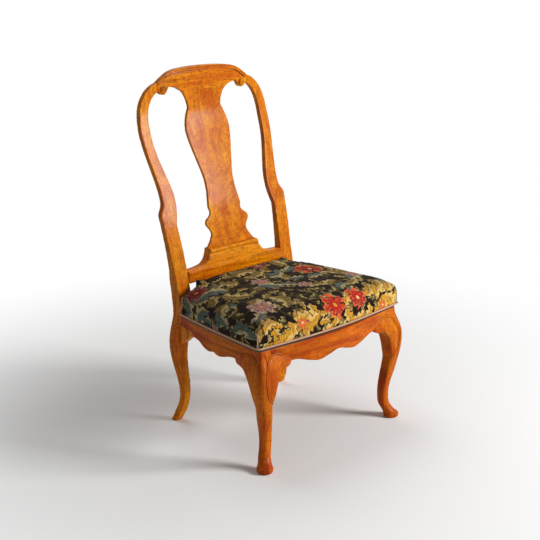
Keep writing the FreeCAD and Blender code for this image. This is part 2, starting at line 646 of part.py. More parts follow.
def front_knee_block(side, leg, rail):
    name = f"front_knee_block_{SIDES[side]}"
    near = S.front_half_width - S.leg_block
    far = near - S.block_reach
    face = slab(name + "_face", "front", bracket_edge(near, far, 0, side), "4 * Sizes.seat_depth")
    root = near + 0.5 * S.leg_block
    swollen = -2 * S.knee_swell
    taper = plate(name + "_plan", closed([(side * root, swollen), (side * near, swollen),
                                          (side * far, front_face(far)), (side * far, S.rail_thickness),
                                          (side * root, S.rail_thickness)]), "0", "Sizes.rail_top")
    body = common(name + "_body", face, taper, knee_profile(name + "_profile", "side", -1))
    return piece(name, cut(name, body, leg, rail))


def side_knee_block(side, leg, rail):
    name = f"side_knee_block_{SIDES[side]}"
    near = S.leg_block
    far = near + S.block_reach
    lag = S.leg_block + 1.45 * S.knee_swell - S.knee_width
    face = slab(name + "_face", "side", bracket_edge(near, far, lag, 1), "4 * Sizes.front_half_width")
    swollen = S.front_half_width + S.knee_swell
    root = near - 0.5 * S.leg_block
    plan = [(swollen, root), (swollen, near), (side_face(far), far), (side_inner(far), far),
            (side_inner(near), near), (side_inner(near), root)]
    taper = plate(name + "_plan", closed([(side * x, y) for x, y in plan]), "0", "Sizes.rail_top")
    body = common(name + "_body", face, taper, knee_profile(name + "_profile", "front", side))
    return piece(name, cut(name, body, leg, rail))


def rear_knee_block(side, post, rail):
    """The small bracket between a side rail and the rear leg, flush with the rail."""
    name = f"rear_knee_block_{SIDES[side]}"
    post_face, far = S.seat_depth + 22, S.seat_depth - S.block_reach
    arch = S.rail_top - S.rail_drop + 5
    curl = [(post_face, arch - 50), (S.seat_depth - 6, arch - 38), (S.seat_depth - 30, arch - 19),
            (S.seat_depth - 50, arch - 5), (far, arch)]
    runs = bent(curl) + [
            [(far, arch), (far + 10, arch + 12)],
            [(far + 10, arch + 12), (post_face, arch + 12)], [(post_face, arch + 12), (post_face, arch - 50)]]
    face = slab(name + "_face", "side", runs, "4 * Sizes.front_half_width")
    strip = side_strip(name + "_plan", side, far, post_face, "0", "Sizes.rail_top")
    return piece(name, cut(name, common(name + "_body", face, strip), post, rail))


# Glue blocks inside the corners of the seat frame
BLOCK_BOTTOM = "Sizes.rail_top - 4 - Sizes.corner_block_height"


def front_corner_block(side):
    name = f"front_corner_block_{SIDES[side]}"
    leg, inner, reach = S.front_half_width - S.leg_block, S.rail_thickness, S.corner_block_reach
    start, end = S.leg_block, S.leg_block + reach
    points = [(leg, inner), (leg - reach, inner), (side_inner(end), end), (side_inner(start), start),
              (leg, start)]
    return plate(name, closed([(side * x, y) for x, y in points]), BLOCK_BOTTOM, "Sizes.corner_block_height")


def rear_corner_block(side, post):
    name = f"rear_corner_block_{SIDES[side]}"
    reach = S.corner_block_reach
    front, rail = S.seat_depth - reach, S.seat_depth + S.rear_rail_setback
    inner = S.rear_half_width - S.post_width
    points = [(side_inner(front), front), (side_inner(rail), rail), (inner - reach, rail)]
    body = plate(name + "_body", closed([(side * x, y) for x, y in points]), BLOCK_BOTTOM,
                 "Sizes.corner_block_height")
    return cut(name, body, post)


# The loose seat
SEAT_FRONT, SEAT_TONGUE = 6, 15
SEAT_RADII = [None, 12, None, 12, 12, None, 12]
WEB_MARGIN = 14


def seat_side(y, inset):
    """Edge of the loose seat, as a distance from the middle."""
    return side_face(y) + S.seat_overhang - inset


def seat_plan(inset, rear, height):
    """Corners of the seat, each edge drawn in parallel to itself by an inset: bow, left side, right side."""
    front = SEAT_FRONT - S.seat_overhang
    middle = (front + S.seat_depth) / 2
    wide, waist, narrow = (seat_side(y, inset) for y in (front, middle, S.seat_depth))
    fore, aft = (wide - waist) / (middle - front), (waist - narrow) / (S.seat_depth - middle)
    apex = front - S.front_bow + inset
    sweep = S.front_bow / (wide + inset)
    corner = (waist + fore * (middle - apex)) / (1 + fore * sweep)
    left = [V(corner, apex + sweep * corner, height), V(waist, middle, height),
            V(waist - aft * (rear - middle), rear, height)]
    right = [V(-point.x, point.y, height) for point in reversed(left)]
    return [V(0, apex, height)] + left + right


def frame_inset():
    """The frame of the loose seat stays just inside the hem of its cover."""
    return EDGE_STATIONS[0][1] + S.cover_thickness + S.soft_gap


def frame_ends():
    """Front and back of the frame at its corners."""
    return frame_inset() + SEAT_FRONT - S.seat_overhang, S.seat_depth - S.seat_gap - frame_inset()


def seat_section(name, inset, radius, height, rear_inset):
    """Closed plan of the seat at a height, with round corners."""
    points = seat_plan(inset, S.seat_depth + SEAT_TONGUE - rear_inset, 0)
    radii = [None, radius, None, radius, radius, None, radius]
    return outline(name, "plan", faceted(rounded(points, radii, True), SEAT_FLATS), height)


# Share of the edge height or crown, inset, corner radius: the sides are drawn in under a full shoulder
EDGE_STATIONS = [(-0.09, 4.6, 9), (0.30, -1.8, 10), (0.54, -4.4, 12), (0.78, -2.2, 15), (0.93, 4.4, 20)]
CROWN_STATIONS = [(0.0, 13, 24), (0.55, 48, 32), (1.0, 130, 26)]
REAR_SHARE = 0.1


def cushion(name, skin, floor):
    """The crowned cushion, drawn in by a skin all over; floor is the height of its underside."""
    piping = S.rail_top + S.seat_lift
    shoulder = piping + S.seat_edge_height
    levels = [(piping + share * S.seat_edge_height, inset, radius) for share, inset, radius in EDGE_STATIONS]
    levels += [(shoulder + share * S.seat_crown, inset, radius) for share, inset, radius in CROWN_STATIONS]
    sections = []
    for count, (height, inset, radius) in enumerate(levels):
        sections.append(seat_section(f"{name}_section_{count}", inset + skin, radius, height - skin,
                                     REAR_SHARE * inset + skin))
    body = loft(name + "_loft", sections, ruled=True)
    wide = "2 * Sizes.rear_half_width"
    notches = []
    for side in (LEFT, RIGHT):
        inner = "(Sizes.rear_half_width - Sizes.post_width - Sizes.seat_gap)"
        start = f"{inner} - {skin}" if side > 0 else f"-{inner} - {wide} + {skin}"
        notches.append(block(f"{name}_notch_{SIDES[side]}", start,
                             f"Sizes.seat_depth - Sizes.seat_gap - {skin}", "Sizes.rail_top - 50", wide,
                             "Sizes.seat_depth", "200"))
    under = block(f"{name}_under", f"-{wide}", "-Sizes.seat_depth", f"{floor} - 300", f"2 * {wide}",
                  "3 * Sizes.seat_depth", "300")
    return cut(name, body, *notches, under)


def seat_frame():
    """Four flat members, half-lapped at the corners, that rest on the seat rails."""
    bottom, height, lap = "Sizes.rail_top", "Sizes.seat_frame_height", "Sizes.seat_frame_height / 2"
    inset, width = frame_inset(), S.seat_frame_width
    front, rear = frame_ends()
    inner = S.rear_half_width - S.post_width - S.seat_gap - inset
    far = 2 * S.front_half_width
    lanes = {}
    for side in (LEFT, RIGHT):
        ahead, behind = (side * (seat_side(y, inset) - width) for y in (front, rear))
        lanes[side] = closed([(ahead, -far), (ahead, front), (behind, rear), (behind, 2 * far),
                              (side * far, 2 * far), (side * far, -far)])
    bands = {"front": closed([(-far, -far), (far, -far), (far, front + width), (-far, front + width)]),
             "rear": closed([(-far, rear - width), (far, rear - width), (far, rear), (inner, rear),
                             (inner, far), (-inner, far), (-inner, rear), (-far, rear)])}

    def board(name):
        """The whole outline of the frame, which each member is sawn from."""
        edge = rounded(seat_plan(inset, S.seat_depth + SEAT_TONGUE - inset, 0), SEAT_RADII, True)
        return plate(name + "_board", faceted(edge, SEAT_FLATS), bottom, height)

    for name, band in bands.items():
        body = common(f"{name}_member", board(f"{name}_member"),
                      plate(f"{name}_member_band", band, bottom, height))
        laps = [plate(f"{name}_lap_{SIDES[side]}", lanes[side], bottom, lap) for side in lanes]
        piece(f"seat_frame_{name}", cut(f"seat_frame_{name}", body, *laps))
    for side, lane in lanes.items():
        name = f"{SIDES[side]}_member"
        ahead = block(name + "_end", f"{-far}", f"{-far}", bottom, f"{2 * far}", f"{far + rear}", height)
        body = common(name, board(name), plate(name + "_lane", lane, bottom, height), ahead)
        laps = [plate(f"{name}_{end}_lap", band, f"{bottom} + {lap}", lap) for end, band in bands.items()]
        piece(f"seat_frame_{SIDES[side]}", cut(f"seat_frame_{SIDES[side]}", body, *laps))


def webbing():
    """Webbing on the seat frame: strips front to back, and strips across on top of them."""
    level = "Sizes.rail_top + Sizes.seat_frame_height"
    front, rear = frame_ends()
    lengthwise, crosswise = [], []
    clear = seat_side(rear, frame_inset()) - S.seat_frame_width - S.webbing_width
    first, last = front + S.seat_frame_width + WEB_MARGIN, rear - S.seat_frame_width - WEB_MARGIN
    for count in range(WEBS):
        share = count / (WEBS - 1)
        x = -clear + share * 2 * clear
        lengthwise.append(block(f"web_along_{count}", f"{x} - Sizes.webbing_width / 2", f"{front + WEB_MARGIN}",
                                level, "Sizes.webbing_width", f"{rear - front - 2 * WEB_MARGIN}",
                                "Sizes.webbing_thickness"))
        y = first + share * (last - first)
        reach = seat_side(y, frame_inset()) - WEB_MARGIN
        crosswise.append(block(f"web_across_{count}", f"{-reach}", f"{y} - Sizes.webbing_width / 2",
                               f"{level} + Sizes.webbing_thickness", f"{2 * reach}", "Sizes.webbing_width",
                               "Sizes.webbing_thickness"))
    piece("webbing_lengthwise", group("webbing_lengthwise", lengthwise))
    piece("webbing_crosswise", group("webbing_crosswise", crosswise))


def hessian():
    """The base cloth that carries the stuffing, tacked to the frame over the webbing."""
    front, rear = frame_ends()
    edge = seat_plan(frame_inset() + WEB_MARGIN / 2, rear - WEB_MARGIN / 2, 0)
    level = "Sizes.rail_top + Sizes.seat_frame_height + 2 * Sizes.webbing_thickness"
    return plate("hessian", closed([(point.x, point.y) for point in edge]), level, "Sizes.hessian_thickness")


def piping():
    """One round cord along the lower edge and up both ends beside the posts."""
    level = S.rail_top + S.seat_lift
    behind = S.seat_depth - S.seat_gap + S.piping_radius + S.soft_gap
    apex, *rest = seat_plan(0, behind, level)
    left, right = rest[:3], rest[3:]
    rise = V(0, 0, S.seat_edge_height - 14)
    points = [left[2] + rise] + left[::-1] + [apex] + right[::-1] + [right[0] + rise]
    radii = [None, 8, None, 12, None, 12, None, 8, None]
    spine = Part.Wire([edge.toShape() for edge in rounded(points, radii, False)])
    turns = [2 * math.pi * corner / PIPING_SIDES for corner in range(PIPING_SIDES + 1)]
    spokes = [V(math.cos(turn), math.sin(turn), 0) * S.piping_radius for turn in turns]
    ring = Part.makePolygon([points[0] + spoke for spoke in spokes])
    cord = doc.addObject("Part::Feature", "seat_piping")
    cord.Shape = spine.makePipeShell([ring], True, False)
    section = Part.Face(ring).Area
    print("piping", round(cord.Shape.Volume / (section * spine.Length), 4), "of section x length")
    return cord


def build():
    legs = {side: front_leg_blank(side) for side in SIDES}
    posts = {side: post_blank(side) for side in SIDES}
    front = front_rail_blank()
    rails = {side: side_rail_blank(side) for side in SIDES}
    for side, word in SIDES.items():
        leg, post, rail = legs[side], posts[side], rails[side]
        piece(f"front_leg_{word}", cut(f"front_leg_{word}", leg, front_tenon(side, True),
                                       side_front_tenon(side, True)))
        piece(f"rear_post_{word}", cut(f"rear_post_{word}", post, side_rear_tenon(side, True),
                                       rear_tenon(side, True), shoe_tenon(side, True)))
        scribed = cut(f"side_rail_{word}_scribed", rail, leg, post)
        piece(f"side_rail_{word}", fuse(f"side_rail_{word}", scribed, side_front_tenon(side, False),
                                        side_rear_tenon(side, False)))
        front_knee_block(side, leg, front)
        side_knee_block(side, leg, rail)
        rear_knee_block(side, post, rail)
        piece(f"front_corner_block_{word}", front_corner_block(side))
        piece(f"rear_corner_block_{word}", rear_corner_block(side, post))
    piece("front_rail", fuse("front_rail", cut("front_rail_scribed", front, *legs.values()),
                             *(front_tenon(side, False) for side in SIDES)))
    piece("rear_rail", fuse("rear_rail", rear_rail_blank(),
                            *(rear_tenon(side, False) for side in SIDES)))
    shoe = cut("shoe_mortised", shoe_blank(), splat_tongue("shoe_mortise", True))
    piece("shoe_rail", fuse("shoe_rail", shoe, *(shoe_tenon(side, False) for side in SIDES)))
    piece("splat", splat())
    piece("crest_rail", crest())
    seat_frame()
    webbing()
    piece("hessian", hessian())
    cloth_floor = S.rail_top + S.seat_frame_height + 2 * S.webbing_thickness
    cover_skin = S.cover_thickness
    stuffing_floor = cloth_floor + S.hessian_thickness
    inner_skin = cover_skin + S.soft_gap
    piece("seat_stuffing", cushion("seat_stuffing", inner_skin, stuffing_floor))
    outer = cushion("cover_outside", 0, S.rail_top + S.seat_lift - 4)
    inside = cushion("cover_inside", cover_skin, S.rail_top)
    piece("tapestry_cover", cut("tapestry_cover", outer, inside))
    piece("seat_piping", piping())
    doc.recompute()


def check():
    """Stops on any feature that failed, and on any piece without a sound solid."""
    failed = [item.Name for item in doc.Objects if {"Invalid", "Error"} & set(item.State)]
    if failed:
        raise RuntimeError(f"failed features: {failed}")
    unsound = [item.Label for item in pieces
               if item.Shape.isNull() or not item.Shape.isValid() or not item.Shape.Solids]
    if unsound:
        raise RuntimeError(f"not sound solids: {unsound}")


def stand():
    """Moves every piece so that the origin is on the floor, in the middle of the outline."""
    box = FreeCAD.BoundBox()
    for item in pieces:
        box.add(item.Shape.optimalBoundingBox(False))
    shift = FreeCAD.Placement(V(-box.Center.x, -box.Center.y, -box.ZMin), FreeCAD.Rotation())
    for item in pieces:
        item.Placement = shift.multiply(item.Placement)
    lengths = (box.XLength, box.YLength, box.ZLength)
    print("outline", [round(size, 1) for size in lengths], "shift", shift.Base)


def write():
    os.makedirs("parts", exist_ok=True)
    for item in pieces:
        item.Shape.exportStep(f"parts/{item.Label}.step")


build()
check()
stand()
check()
write()
for item in pieces:
    print(item.Label, len(item.Shape.Solids), round(item.Shape.Volume / 1000, 1), "cm3")
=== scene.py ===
"""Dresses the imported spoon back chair: polished walnut, carved knees and a stuffed tapestry seat."""
import math

import bmesh
import bpy
import numpy as np
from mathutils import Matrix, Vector
from mathutils.bvhtree import BVHTree
from mathutils.kdtree import KDTree


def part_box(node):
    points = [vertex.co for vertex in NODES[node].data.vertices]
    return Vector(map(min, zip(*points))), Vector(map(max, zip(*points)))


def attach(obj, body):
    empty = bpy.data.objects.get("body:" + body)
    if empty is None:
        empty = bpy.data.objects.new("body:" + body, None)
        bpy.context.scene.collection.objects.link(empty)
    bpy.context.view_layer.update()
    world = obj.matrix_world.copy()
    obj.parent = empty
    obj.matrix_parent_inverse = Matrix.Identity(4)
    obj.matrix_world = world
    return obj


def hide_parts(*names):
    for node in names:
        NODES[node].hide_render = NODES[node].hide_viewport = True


bl_info = {
    "name": "Spoon back chair",
    "version": (1, 0, 0),
    "blender": (4, 5, 0),
    "location": "View3D > Sidebar > Chair",
    "description": "Builds the finish of a spoon back chair over its packed construction",
    "category": "Object",
}

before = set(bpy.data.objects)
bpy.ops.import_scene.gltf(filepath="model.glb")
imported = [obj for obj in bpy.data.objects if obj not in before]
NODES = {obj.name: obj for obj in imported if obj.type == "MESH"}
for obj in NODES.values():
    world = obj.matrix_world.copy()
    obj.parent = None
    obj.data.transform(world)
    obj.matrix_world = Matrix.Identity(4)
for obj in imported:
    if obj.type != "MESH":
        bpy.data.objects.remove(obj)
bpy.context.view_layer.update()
SIDES = {"left": 1, "right": -1}
MM = 0.001


# Shader maths
class Tone:
    """A socket of a material's node tree, which takes part in plain arithmetic."""

    def __init__(self, tree, socket):
        self.tree = tree
        self.socket = socket

    def math(self, operation, *others):
        node = self.tree.nodes.new("ShaderNodeMath")
        node.operation = operation
        for place, value in zip(node.inputs, (self, *others)):
            join(self.tree, place, value)
        return Tone(self.tree, node.outputs[0])

    def __add__(self, other):
        return self.math("ADD", other)

    def __radd__(self, other):
        return self.math("ADD", other)

    def __sub__(self, other):
        return self.math("SUBTRACT", other)

    def __rsub__(self, other):
        node = self.tree.nodes.new("ShaderNodeMath")
        node.operation = "SUBTRACT"
        join(self.tree, node.inputs[0], other)
        join(self.tree, node.inputs[1], self)
        return Tone(self.tree, node.outputs[0])

    def __mul__(self, other):
        return self.math("MULTIPLY", other)

    def __truediv__(self, other):
        return self.math("DIVIDE", other)

    def __pow__(self, other):
        return self.math("POWER", other)

    def sin(self):
        return self.math("SINE")

    def cos(self):
        return self.math("COSINE")

    def floor(self):
        return self.math("FLOOR")

    def size(self):
        return self.math("ABSOLUTE")

    def root(self):
        return self.math("SQRT")

    def most(self, other):
        return self.math("MAXIMUM", other)

    def ramp(self, low, high):
        """0 below low, 1 above high and smooth between; falls instead where low is the larger."""
        node = self.tree.nodes.new("ShaderNodeMapRange")
        node.interpolation_type = "SMOOTHSTEP"
        rising = low < high
        settings = (self, min(low, high), max(low, high), 0 if rising else 1, 1 if rising else 0)
        for place, value in zip(node.inputs, settings):
            join(self.tree, place, value)
        return Tone(self.tree, node.outputs[0])


def join(tree, place, value):
    if isinstance(value, Tone):
        tree.links.new(value.socket, place)
    else:
        place.default_value = value


class Finish:
    """One material under construction."""

    def __init__(self, name):
        self.material = bpy.data.materials.new(name)
        self.material.use_nodes = True
        self.tree = self.material.node_tree
        self.shader = self.tree.nodes["Principled BSDF"]

    def node(self, kind, settings=None, output=0, **sockets):
        """Adds a node: its settings first, then the values or links of its sockets, by name."""
        made = self.tree.nodes.new(kind)
        for name, value in (settings or {}).items():
            setattr(made, name, value)
        for name, value in sockets.items():
            join(self.tree, made.inputs[name], value)
        return Tone(self.tree, made.outputs[output])

    def coordinates(self):
        return self.node("ShaderNodeTexCoord", output="Object")

    def uv(self):
        return self.node("ShaderNodeTexCoord", output="UV")

    def stretched(self, vector, scale, turn=(0, 0, 0)):
        return self.node("ShaderNodeMapping", Vector=vector, Scale=scale, Rotation=turn)

    def parts(self, vector):
        made = self.tree.nodes.new("ShaderNodeSeparateXYZ")
        join(self.tree, made.inputs[0], vector)
        return [Tone(self.tree, output) for output in made.outputs]

    def vector(self, x, y, z=0.0):
        return self.node("ShaderNodeCombineXYZ", X=x, Y=y, Z=z)

    def noise(self, vector, scale, detail=2.0, distortion=0.0):
        return self.node("ShaderNodeTexNoise", Vector=vector, Scale=scale, Detail=detail,
                         Distortion=distortion)

    def cells(self, vector, scale, randomness):
        """Scattered places: the vector from the nearest one, and three random numbers that belong to it."""
        made = self.tree.nodes.new("ShaderNodeTexVoronoi")
        made.voronoi_dimensions = "2D"
        for name, value in (("Vector", vector), ("Scale", scale), ("Randomness", randomness)):
            join(self.tree, made.inputs[name], value)
        place = Tone(self.tree, made.outputs["Position"])
        away = self.node("ShaderNodeVectorMath", {"operation": "SUBTRACT"})
        join(self.tree, away.socket.node.inputs[0], vector)
        join(self.tree, away.socket.node.inputs[1], place)
        return away, self.parts(Tone(self.tree, made.outputs["Color"]))

    def mix(self, share, first, second):
        made = self.tree.nodes.new("ShaderNodeMix")
        made.data_type = "RGBA"
        places = [place for place in made.inputs if place.type == "RGBA"]
        join(self.tree, made.inputs["Factor"], share)
        for place, value in zip(places, (first, second)):
            join(self.tree, place, value)
        return Tone(self.tree, next(place for place in made.outputs if place.type == "RGBA"))

    def bump(self, height, strength, distance):
        return self.node("ShaderNodeBump", Height=height, Strength=strength, Distance=distance)

    def set(self, **sockets):
        for name, value in sockets.items():
            join(self.tree, self.shader.inputs[name.replace("_", " ")], value)
        return self.material


def shade(red, green, blue):
    """A colour given in display values from 0 to 255, as the linear colour that a shader takes."""
    def linear(value):
        share = value / 255
        return share / 12.92 if share <= 0.04045 else ((share + 0.055) / 1.055) ** 2.4
    return (linear(red), linear(green), linear(blue), 1.0)


# Settings
def colour(name, description, *display):
    return bpy.props.FloatVectorProperty(name=name, description=description, subtype="COLOR", size=4,
                                         min=0, max=1, default=shade(*display))


def length(name, description, default):
    return bpy.props.FloatProperty(name=name, description=description, default=default,
                                   subtype="DISTANCE", unit="LENGTH", precision=4)


class WalnutSettings(bpy.types.PropertyGroup):
    # Honey also colours the painted highlight on the arrises, along with their wear
    honey: colour("Honey", "Lightest wood of the back and of worn arrises", 240, 150, 10)
    amber: colour("Amber", "Body colour of the back", 210, 104, 2)
    russet: colour("Russet", "Redder wood of the rails and legs", 172, 60, 2)
    umber: colour("Umber", "Dark figure and pores", 104, 36, 2)
    # Grime also colours the painted shade in the hollows, besides old polish and the specks of the burr
    grime_and_shade: colour("Grime", "Old polish in the hollows", 52, 18, 5)
    voxel: length("Surface step", "How finely the polished surfaces are modelled", 1.7 * MM)
    fine: length("Fine step", "The same on the moulded and carved pieces", 1.15 * MM)
    ripple: length("Ripple", "Width of one band of the rippled figure", 9 * MM)
    bead: length("Carved bead", "Radius of the carved line on the knees", 1.45 * MM)


class SeatSettings(bpy.types.PropertyGroup):
    ground: colour("Ground", "Dark ground of the tapestry", 22, 13, 9)
    gold: colour("Gold", "Golden leaves along the front", 216, 156, 46)
    straw: colour("Straw", "Light tips and veins", 240, 214, 140)
    red: colour("Red", "Flowers by the front edge", 186, 30, 26)
    coral: colour("Coral", "Light petals of those flowers", 226, 104, 66)
    wine: colour("Wine", "Flowers at the rear corners", 118, 26, 30)
    rose: colour("Rose", "Flowers on the top", 158, 104, 98)
    blush: colour("Blush", "Light petals of those flowers", 206, 170, 150)
    khaki: colour("Khaki", "Leaves on the top", 136, 112, 62)
    olive: colour("Olive", "Stems and small leaves", 80, 70, 34)
    slate: colour("Slate", "Leaves on the sides", 94, 106, 100)
    cord: colour("Cord", "Cloth of the piping", 210, 164, 128)
    # Painted shade: this dark colour of the seat board's edge stands for the shadow gap under the piping
    stain: colour("Stain", "Edge of the seat board under the piping", 54, 30, 18)
    cord_radius: length("Welt", "Radius of the cord up each front corner", 1.9 * MM)
    remesh: length("Cushion step", "How finely the cushion is simulated", 5 * MM)
    swell: length("Swell", "The most that the stuffing pushes the cover out", 5 * MM)
    stitch: length("Stitch", "Width of one stitch of the tapestry", 1.3 * MM)


class StageSettings(bpy.types.PropertyGroup):
    azimuth: bpy.props.FloatProperty(name="Azimuth", description="Where the camera stands round the chair",
                                     default=math.radians(-44.22), subtype="ANGLE", unit="ROTATION")
    elevation: bpy.props.FloatProperty(name="Elevation", description="How far the camera looks down",
                                       default=math.radians(15.67), subtype="ANGLE", unit="ROTATION")
    distance: length("Distance", "From the camera to the point it looks at", 3.062)
    target_depth: length("Target depth", "Place of that point from front to back", -0.0286)
    target_height: length("Target height", "Height of that point", 0.505)
    focal: bpy.props.FloatProperty(name="Focal length", description="In millimetres", default=70.8)
    shift_x: bpy.props.FloatProperty(name="Shift X", description="Framing to the side", default=-0.0076)
    shift_y: bpy.props.FloatProperty(name="Shift Y", description="Framing up or down", default=-0.0259)
    floor: colour("Floor", "Plain pale floor", 248, 248, 247)


# Modelling helpers
def as_object(name, bm, material, body, node=None, smooth_angle=50):
    """Turns a bmesh into a piece that rides on a body, and stands for a node where one is named."""
    mesh = bpy.data.meshes.new(name)
    bm.to_mesh(mesh)
    bm.free()
    piece = bpy.data.objects.new(name, mesh)
    bpy.context.scene.collection.objects.link(piece)
    dress(piece, material, smooth_angle)
    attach(piece, body)
    if node:
        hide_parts(node)
    return piece


def dress(piece, material, smooth_angle):
    piece.data.materials.clear()
    piece.data.materials.append(material)
    piece.data.polygons.foreach_set("use_smooth", [True] * len(piece.data.polygons))
    piece.data.set_sharp_from_angle(angle=math.radians(smooth_angle))


def joined(*nodes):
    """Copies of the nodes' meshes in one, with their loose triangles sewn together."""
    bm = bmesh.new()
    for node in nodes:
        bm.from_mesh(NODES[node].data)
    bmesh.ops.remove_doubles(bm, verts=bm.verts, dist=SEWN)
    return bm


def remeshed(bm, step):
    """The same closed form with an even skin of small faces."""
    mesh = bpy.data.meshes.new("skin")
    bm.to_mesh(mesh)
    bm.free()
    holder = bpy.data.objects.new("skin", mesh)
    bpy.context.scene.collection.objects.link(holder)
    skin = holder.modifiers.new("Skin", "REMESH")
    skin.mode = "VOXEL"
    skin.voxel_size = step
    settled = bpy.context.evaluated_depsgraph_get()
    made = bmesh.new()
    made.from_object(holder, settled)
    bpy.data.objects.remove(holder)
    bpy.data.meshes.remove(mesh)
    return made


# Finishing: feet are rubbed more up to the sole's height, and a flow fades out over its edge, in millimetres
WORKED_ANGLE = 60
PLAIN_ANGLE = 30
CORD_ANGLE = 80
ALL_SMOOTH = 180
SEWN = 0.01 * MM
GROUND = 2 * MM
SOLE = 27 * MM
SOLE_RUBS = 22
FLOW_EDGE = 40
FLOW_ROUNDS = 8
FLOW_RUBS = 22
SAME_FACE = 1.5 * MM


def rubbed(bm, times, above=-math.inf, below=math.inf):
    """Arrises rubbed round, as hand finishing leaves them, between two heights."""
    verts = [vert for vert in bm.verts if above < vert.co.z < below]
    for _ in range(times):
        bmesh.ops.smooth_vert(bm, verts=verts, factor=0.5, use_axis_x=True, use_axis_y=True, use_axis_z=True)


def polished(name, nodes, material, step, rubs=5, beside=None, cuts=(), swells=(), lines=(), flow=None):
    """Pieces of the frame that are worked as one, with an even surface and rubbed arrises.

    Beside holds pieces that run on from these, with their materials. A cut is a place and the way out,
    where such a piece goes on in its own object. Swells are rounded knobs, and lines are carved. Flow is
    two heights between which the form runs smoothly.
    """
    beside = beside or {}
    bm = joined(*nodes, *beside)
    for middle, radii in swells:
        knob = bmesh.ops.create_uvsphere(bm, u_segments=32, v_segments=16, radius=1)["verts"]
        bmesh.ops.scale(bm, vec=radii, verts=knob)
        bmesh.ops.translate(bm, vec=middle, verts=knob)
    bm = remeshed(bm, step)
    rubbed(bm, rubs)
    rubbed(bm, SOLE_RUBS, GROUND, SOLE)
    if flow:
        for inset in range(0, FLOW_EDGE, FLOW_EDGE // FLOW_ROUNDS):
            rubbed(bm, FLOW_RUBS, flow[0] + inset * MM, flow[1] - inset * MM)
    for place, outward in cuts:
        everything = bm.verts[:] + bm.edges[:] + bm.faces[:]
        bmesh.ops.bisect_plane(bm, geom=everything, plane_co=place, plane_no=outward, clear_outer=True)
        bmesh.ops.holes_fill(bm, edges=[edge for edge in bm.edges if edge.is_boundary])
    piece = as_object(name, bm, material, "frame", smooth_angle=WORKED_ANGLE)
    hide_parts(*nodes)
    carve(piece.data, lines)
    mark_arrises(piece.data)
    own = [surface(NODES[node].data) for node in nodes]
    for node, other in beside.items():
        piece.data.materials.append(other)
        number, skin = len(piece.data.materials) - 1, surface(NODES[node].data)
        for face in piece.data.polygons:
            near = skin.find_nearest(face.center, SAME_FACE)[3]
            if near is not None and all(near < part.find_nearest(face.center)[3] for part in own):
                face.material_index = number
    return piece


def surface(mesh):
    """A mesh as a skin that can be searched for its nearest point or struck by a ray."""
    return BVHTree.FromPolygons([vert.co for vert in mesh.vertices],
                                [face.vertices for face in mesh.polygons])


# A carved line, in radii of its bead
BEAD_WIDTH = 0.9
GROOVE_PLACE = 2.1
GROOVE_DEPTH = 0.9
CARVED_REACH = 5
CARVED_HEIGHT = 1.1


def carve(mesh, lines):
    """Raises a bead along each line on a surface, with a groove on both sides of it."""
    radius = bpy.context.scene.chair_walnut.bead
    place = np.empty((len(mesh.vertices), 3), np.float32)
    normal = np.empty_like(place)
    mesh.vertices.foreach_get("co", place.ravel())
    mesh.vertices.foreach_get("normal", normal.ravel())
    skin = surface(mesh)
    shape = np.zeros(len(place), np.float32)
    for points, toward in lines:
        path = drawn_on(skin, points, toward)
        line = KDTree(len(path))
        for number, point in enumerate(path):
            line.insert(point, number)
        line.balance()
        reach = CARVED_REACH * radius
        low, high = np.min(path, 0) - reach, np.max(path, 0) + reach
        close = np.flatnonzero(((place > low) & (place < high)).all(1))
        away = np.array([line.find(place[vert])[2] for vert in close]) / radius
        groove = np.exp(-((away - GROOVE_PLACE) / BEAD_WIDTH) ** 2)
        shape[close] += np.exp(-(away / BEAD_WIDTH) ** 2) - GROOVE_DEPTH * groove
    place += normal * (shape * radius * CARVED_HEIGHT)[:, None]
    mesh.vertices.foreach_set("co", place.ravel())
    mesh.update()


def mark_arrises(mesh, rounds=2):
    """Notes how far each point stands out from its neighbours: arrises above 0, hollows below."""
    count = len(mesh.vertices)
    place = np.empty((count, 3), np.float32)
    normal = np.empty((count, 3), np.float32)
    ends = np.empty((len(mesh.edges), 2), np.int32)
    mesh.vertices.foreach_get("co", place.ravel())
    mesh.vertices.foreach_get("normal", normal.ravel())
    mesh.edges.foreach_get("vertices", ends.ravel())
    here, there = np.concatenate((ends, ends[:, ::-1])).T
    step = place[here] - place[there]
    rise = (step * normal[here]).sum(1) / np.linalg.norm(step, axis=1)
    share = np.maximum(np.bincount(here, minlength=count), 1)
    mark = np.bincount(here, rise, count) / share
    for _ in range(rounds):
        mark = 0.5 * mark + 0.5 * np.bincount(here, mark[there], count) / share
    layer = mesh.attributes.new("arris", "FLOAT", "POINT")
    layer.data.foreach_set("value", mark.astype(np.float32))


def curve_mesh(points, kind, radii=None, bevel=0.0):
    """A mesh of a curve through points: a plain line, or a round rod where it has a bevel."""
    line = bpy.data.curves.new("line", "CURVE")
    line.dimensions = "3D"
    line.bevel_depth = bevel
    line.bevel_resolution = 3
    line.use_fill_caps = True
    spline = line.splines.new(kind)
    spline.points.add(len(points) - 1)
    for place, point, radius in zip(spline.points, points, radii or [1.0] * len(points)):
        place.co = (*point, 1)
        place.radius = radius
    spline.order_u = 3
    spline.use_endpoint_u = True
    spline.resolution_u = 30
    holder = bpy.data.objects.new("line", line)
    mesh = bpy.data.meshes.new_from_object(holder)
    bpy.data.objects.remove(holder)
    bpy.data.curves.remove(line)
    return mesh


def drawn_on(skin, points, toward):
    """A smooth line through points, thrown onto a surface."""
    plain = curve_mesh(points, "NURBS")
    landed = [skin.ray_cast(vert.co, toward)[0] for vert in plain.vertices]
    bpy.data.meshes.remove(plain)
    return [point for point in landed if point]


# How many times the tapered end of a cord goes into its length
TAPERS = 6


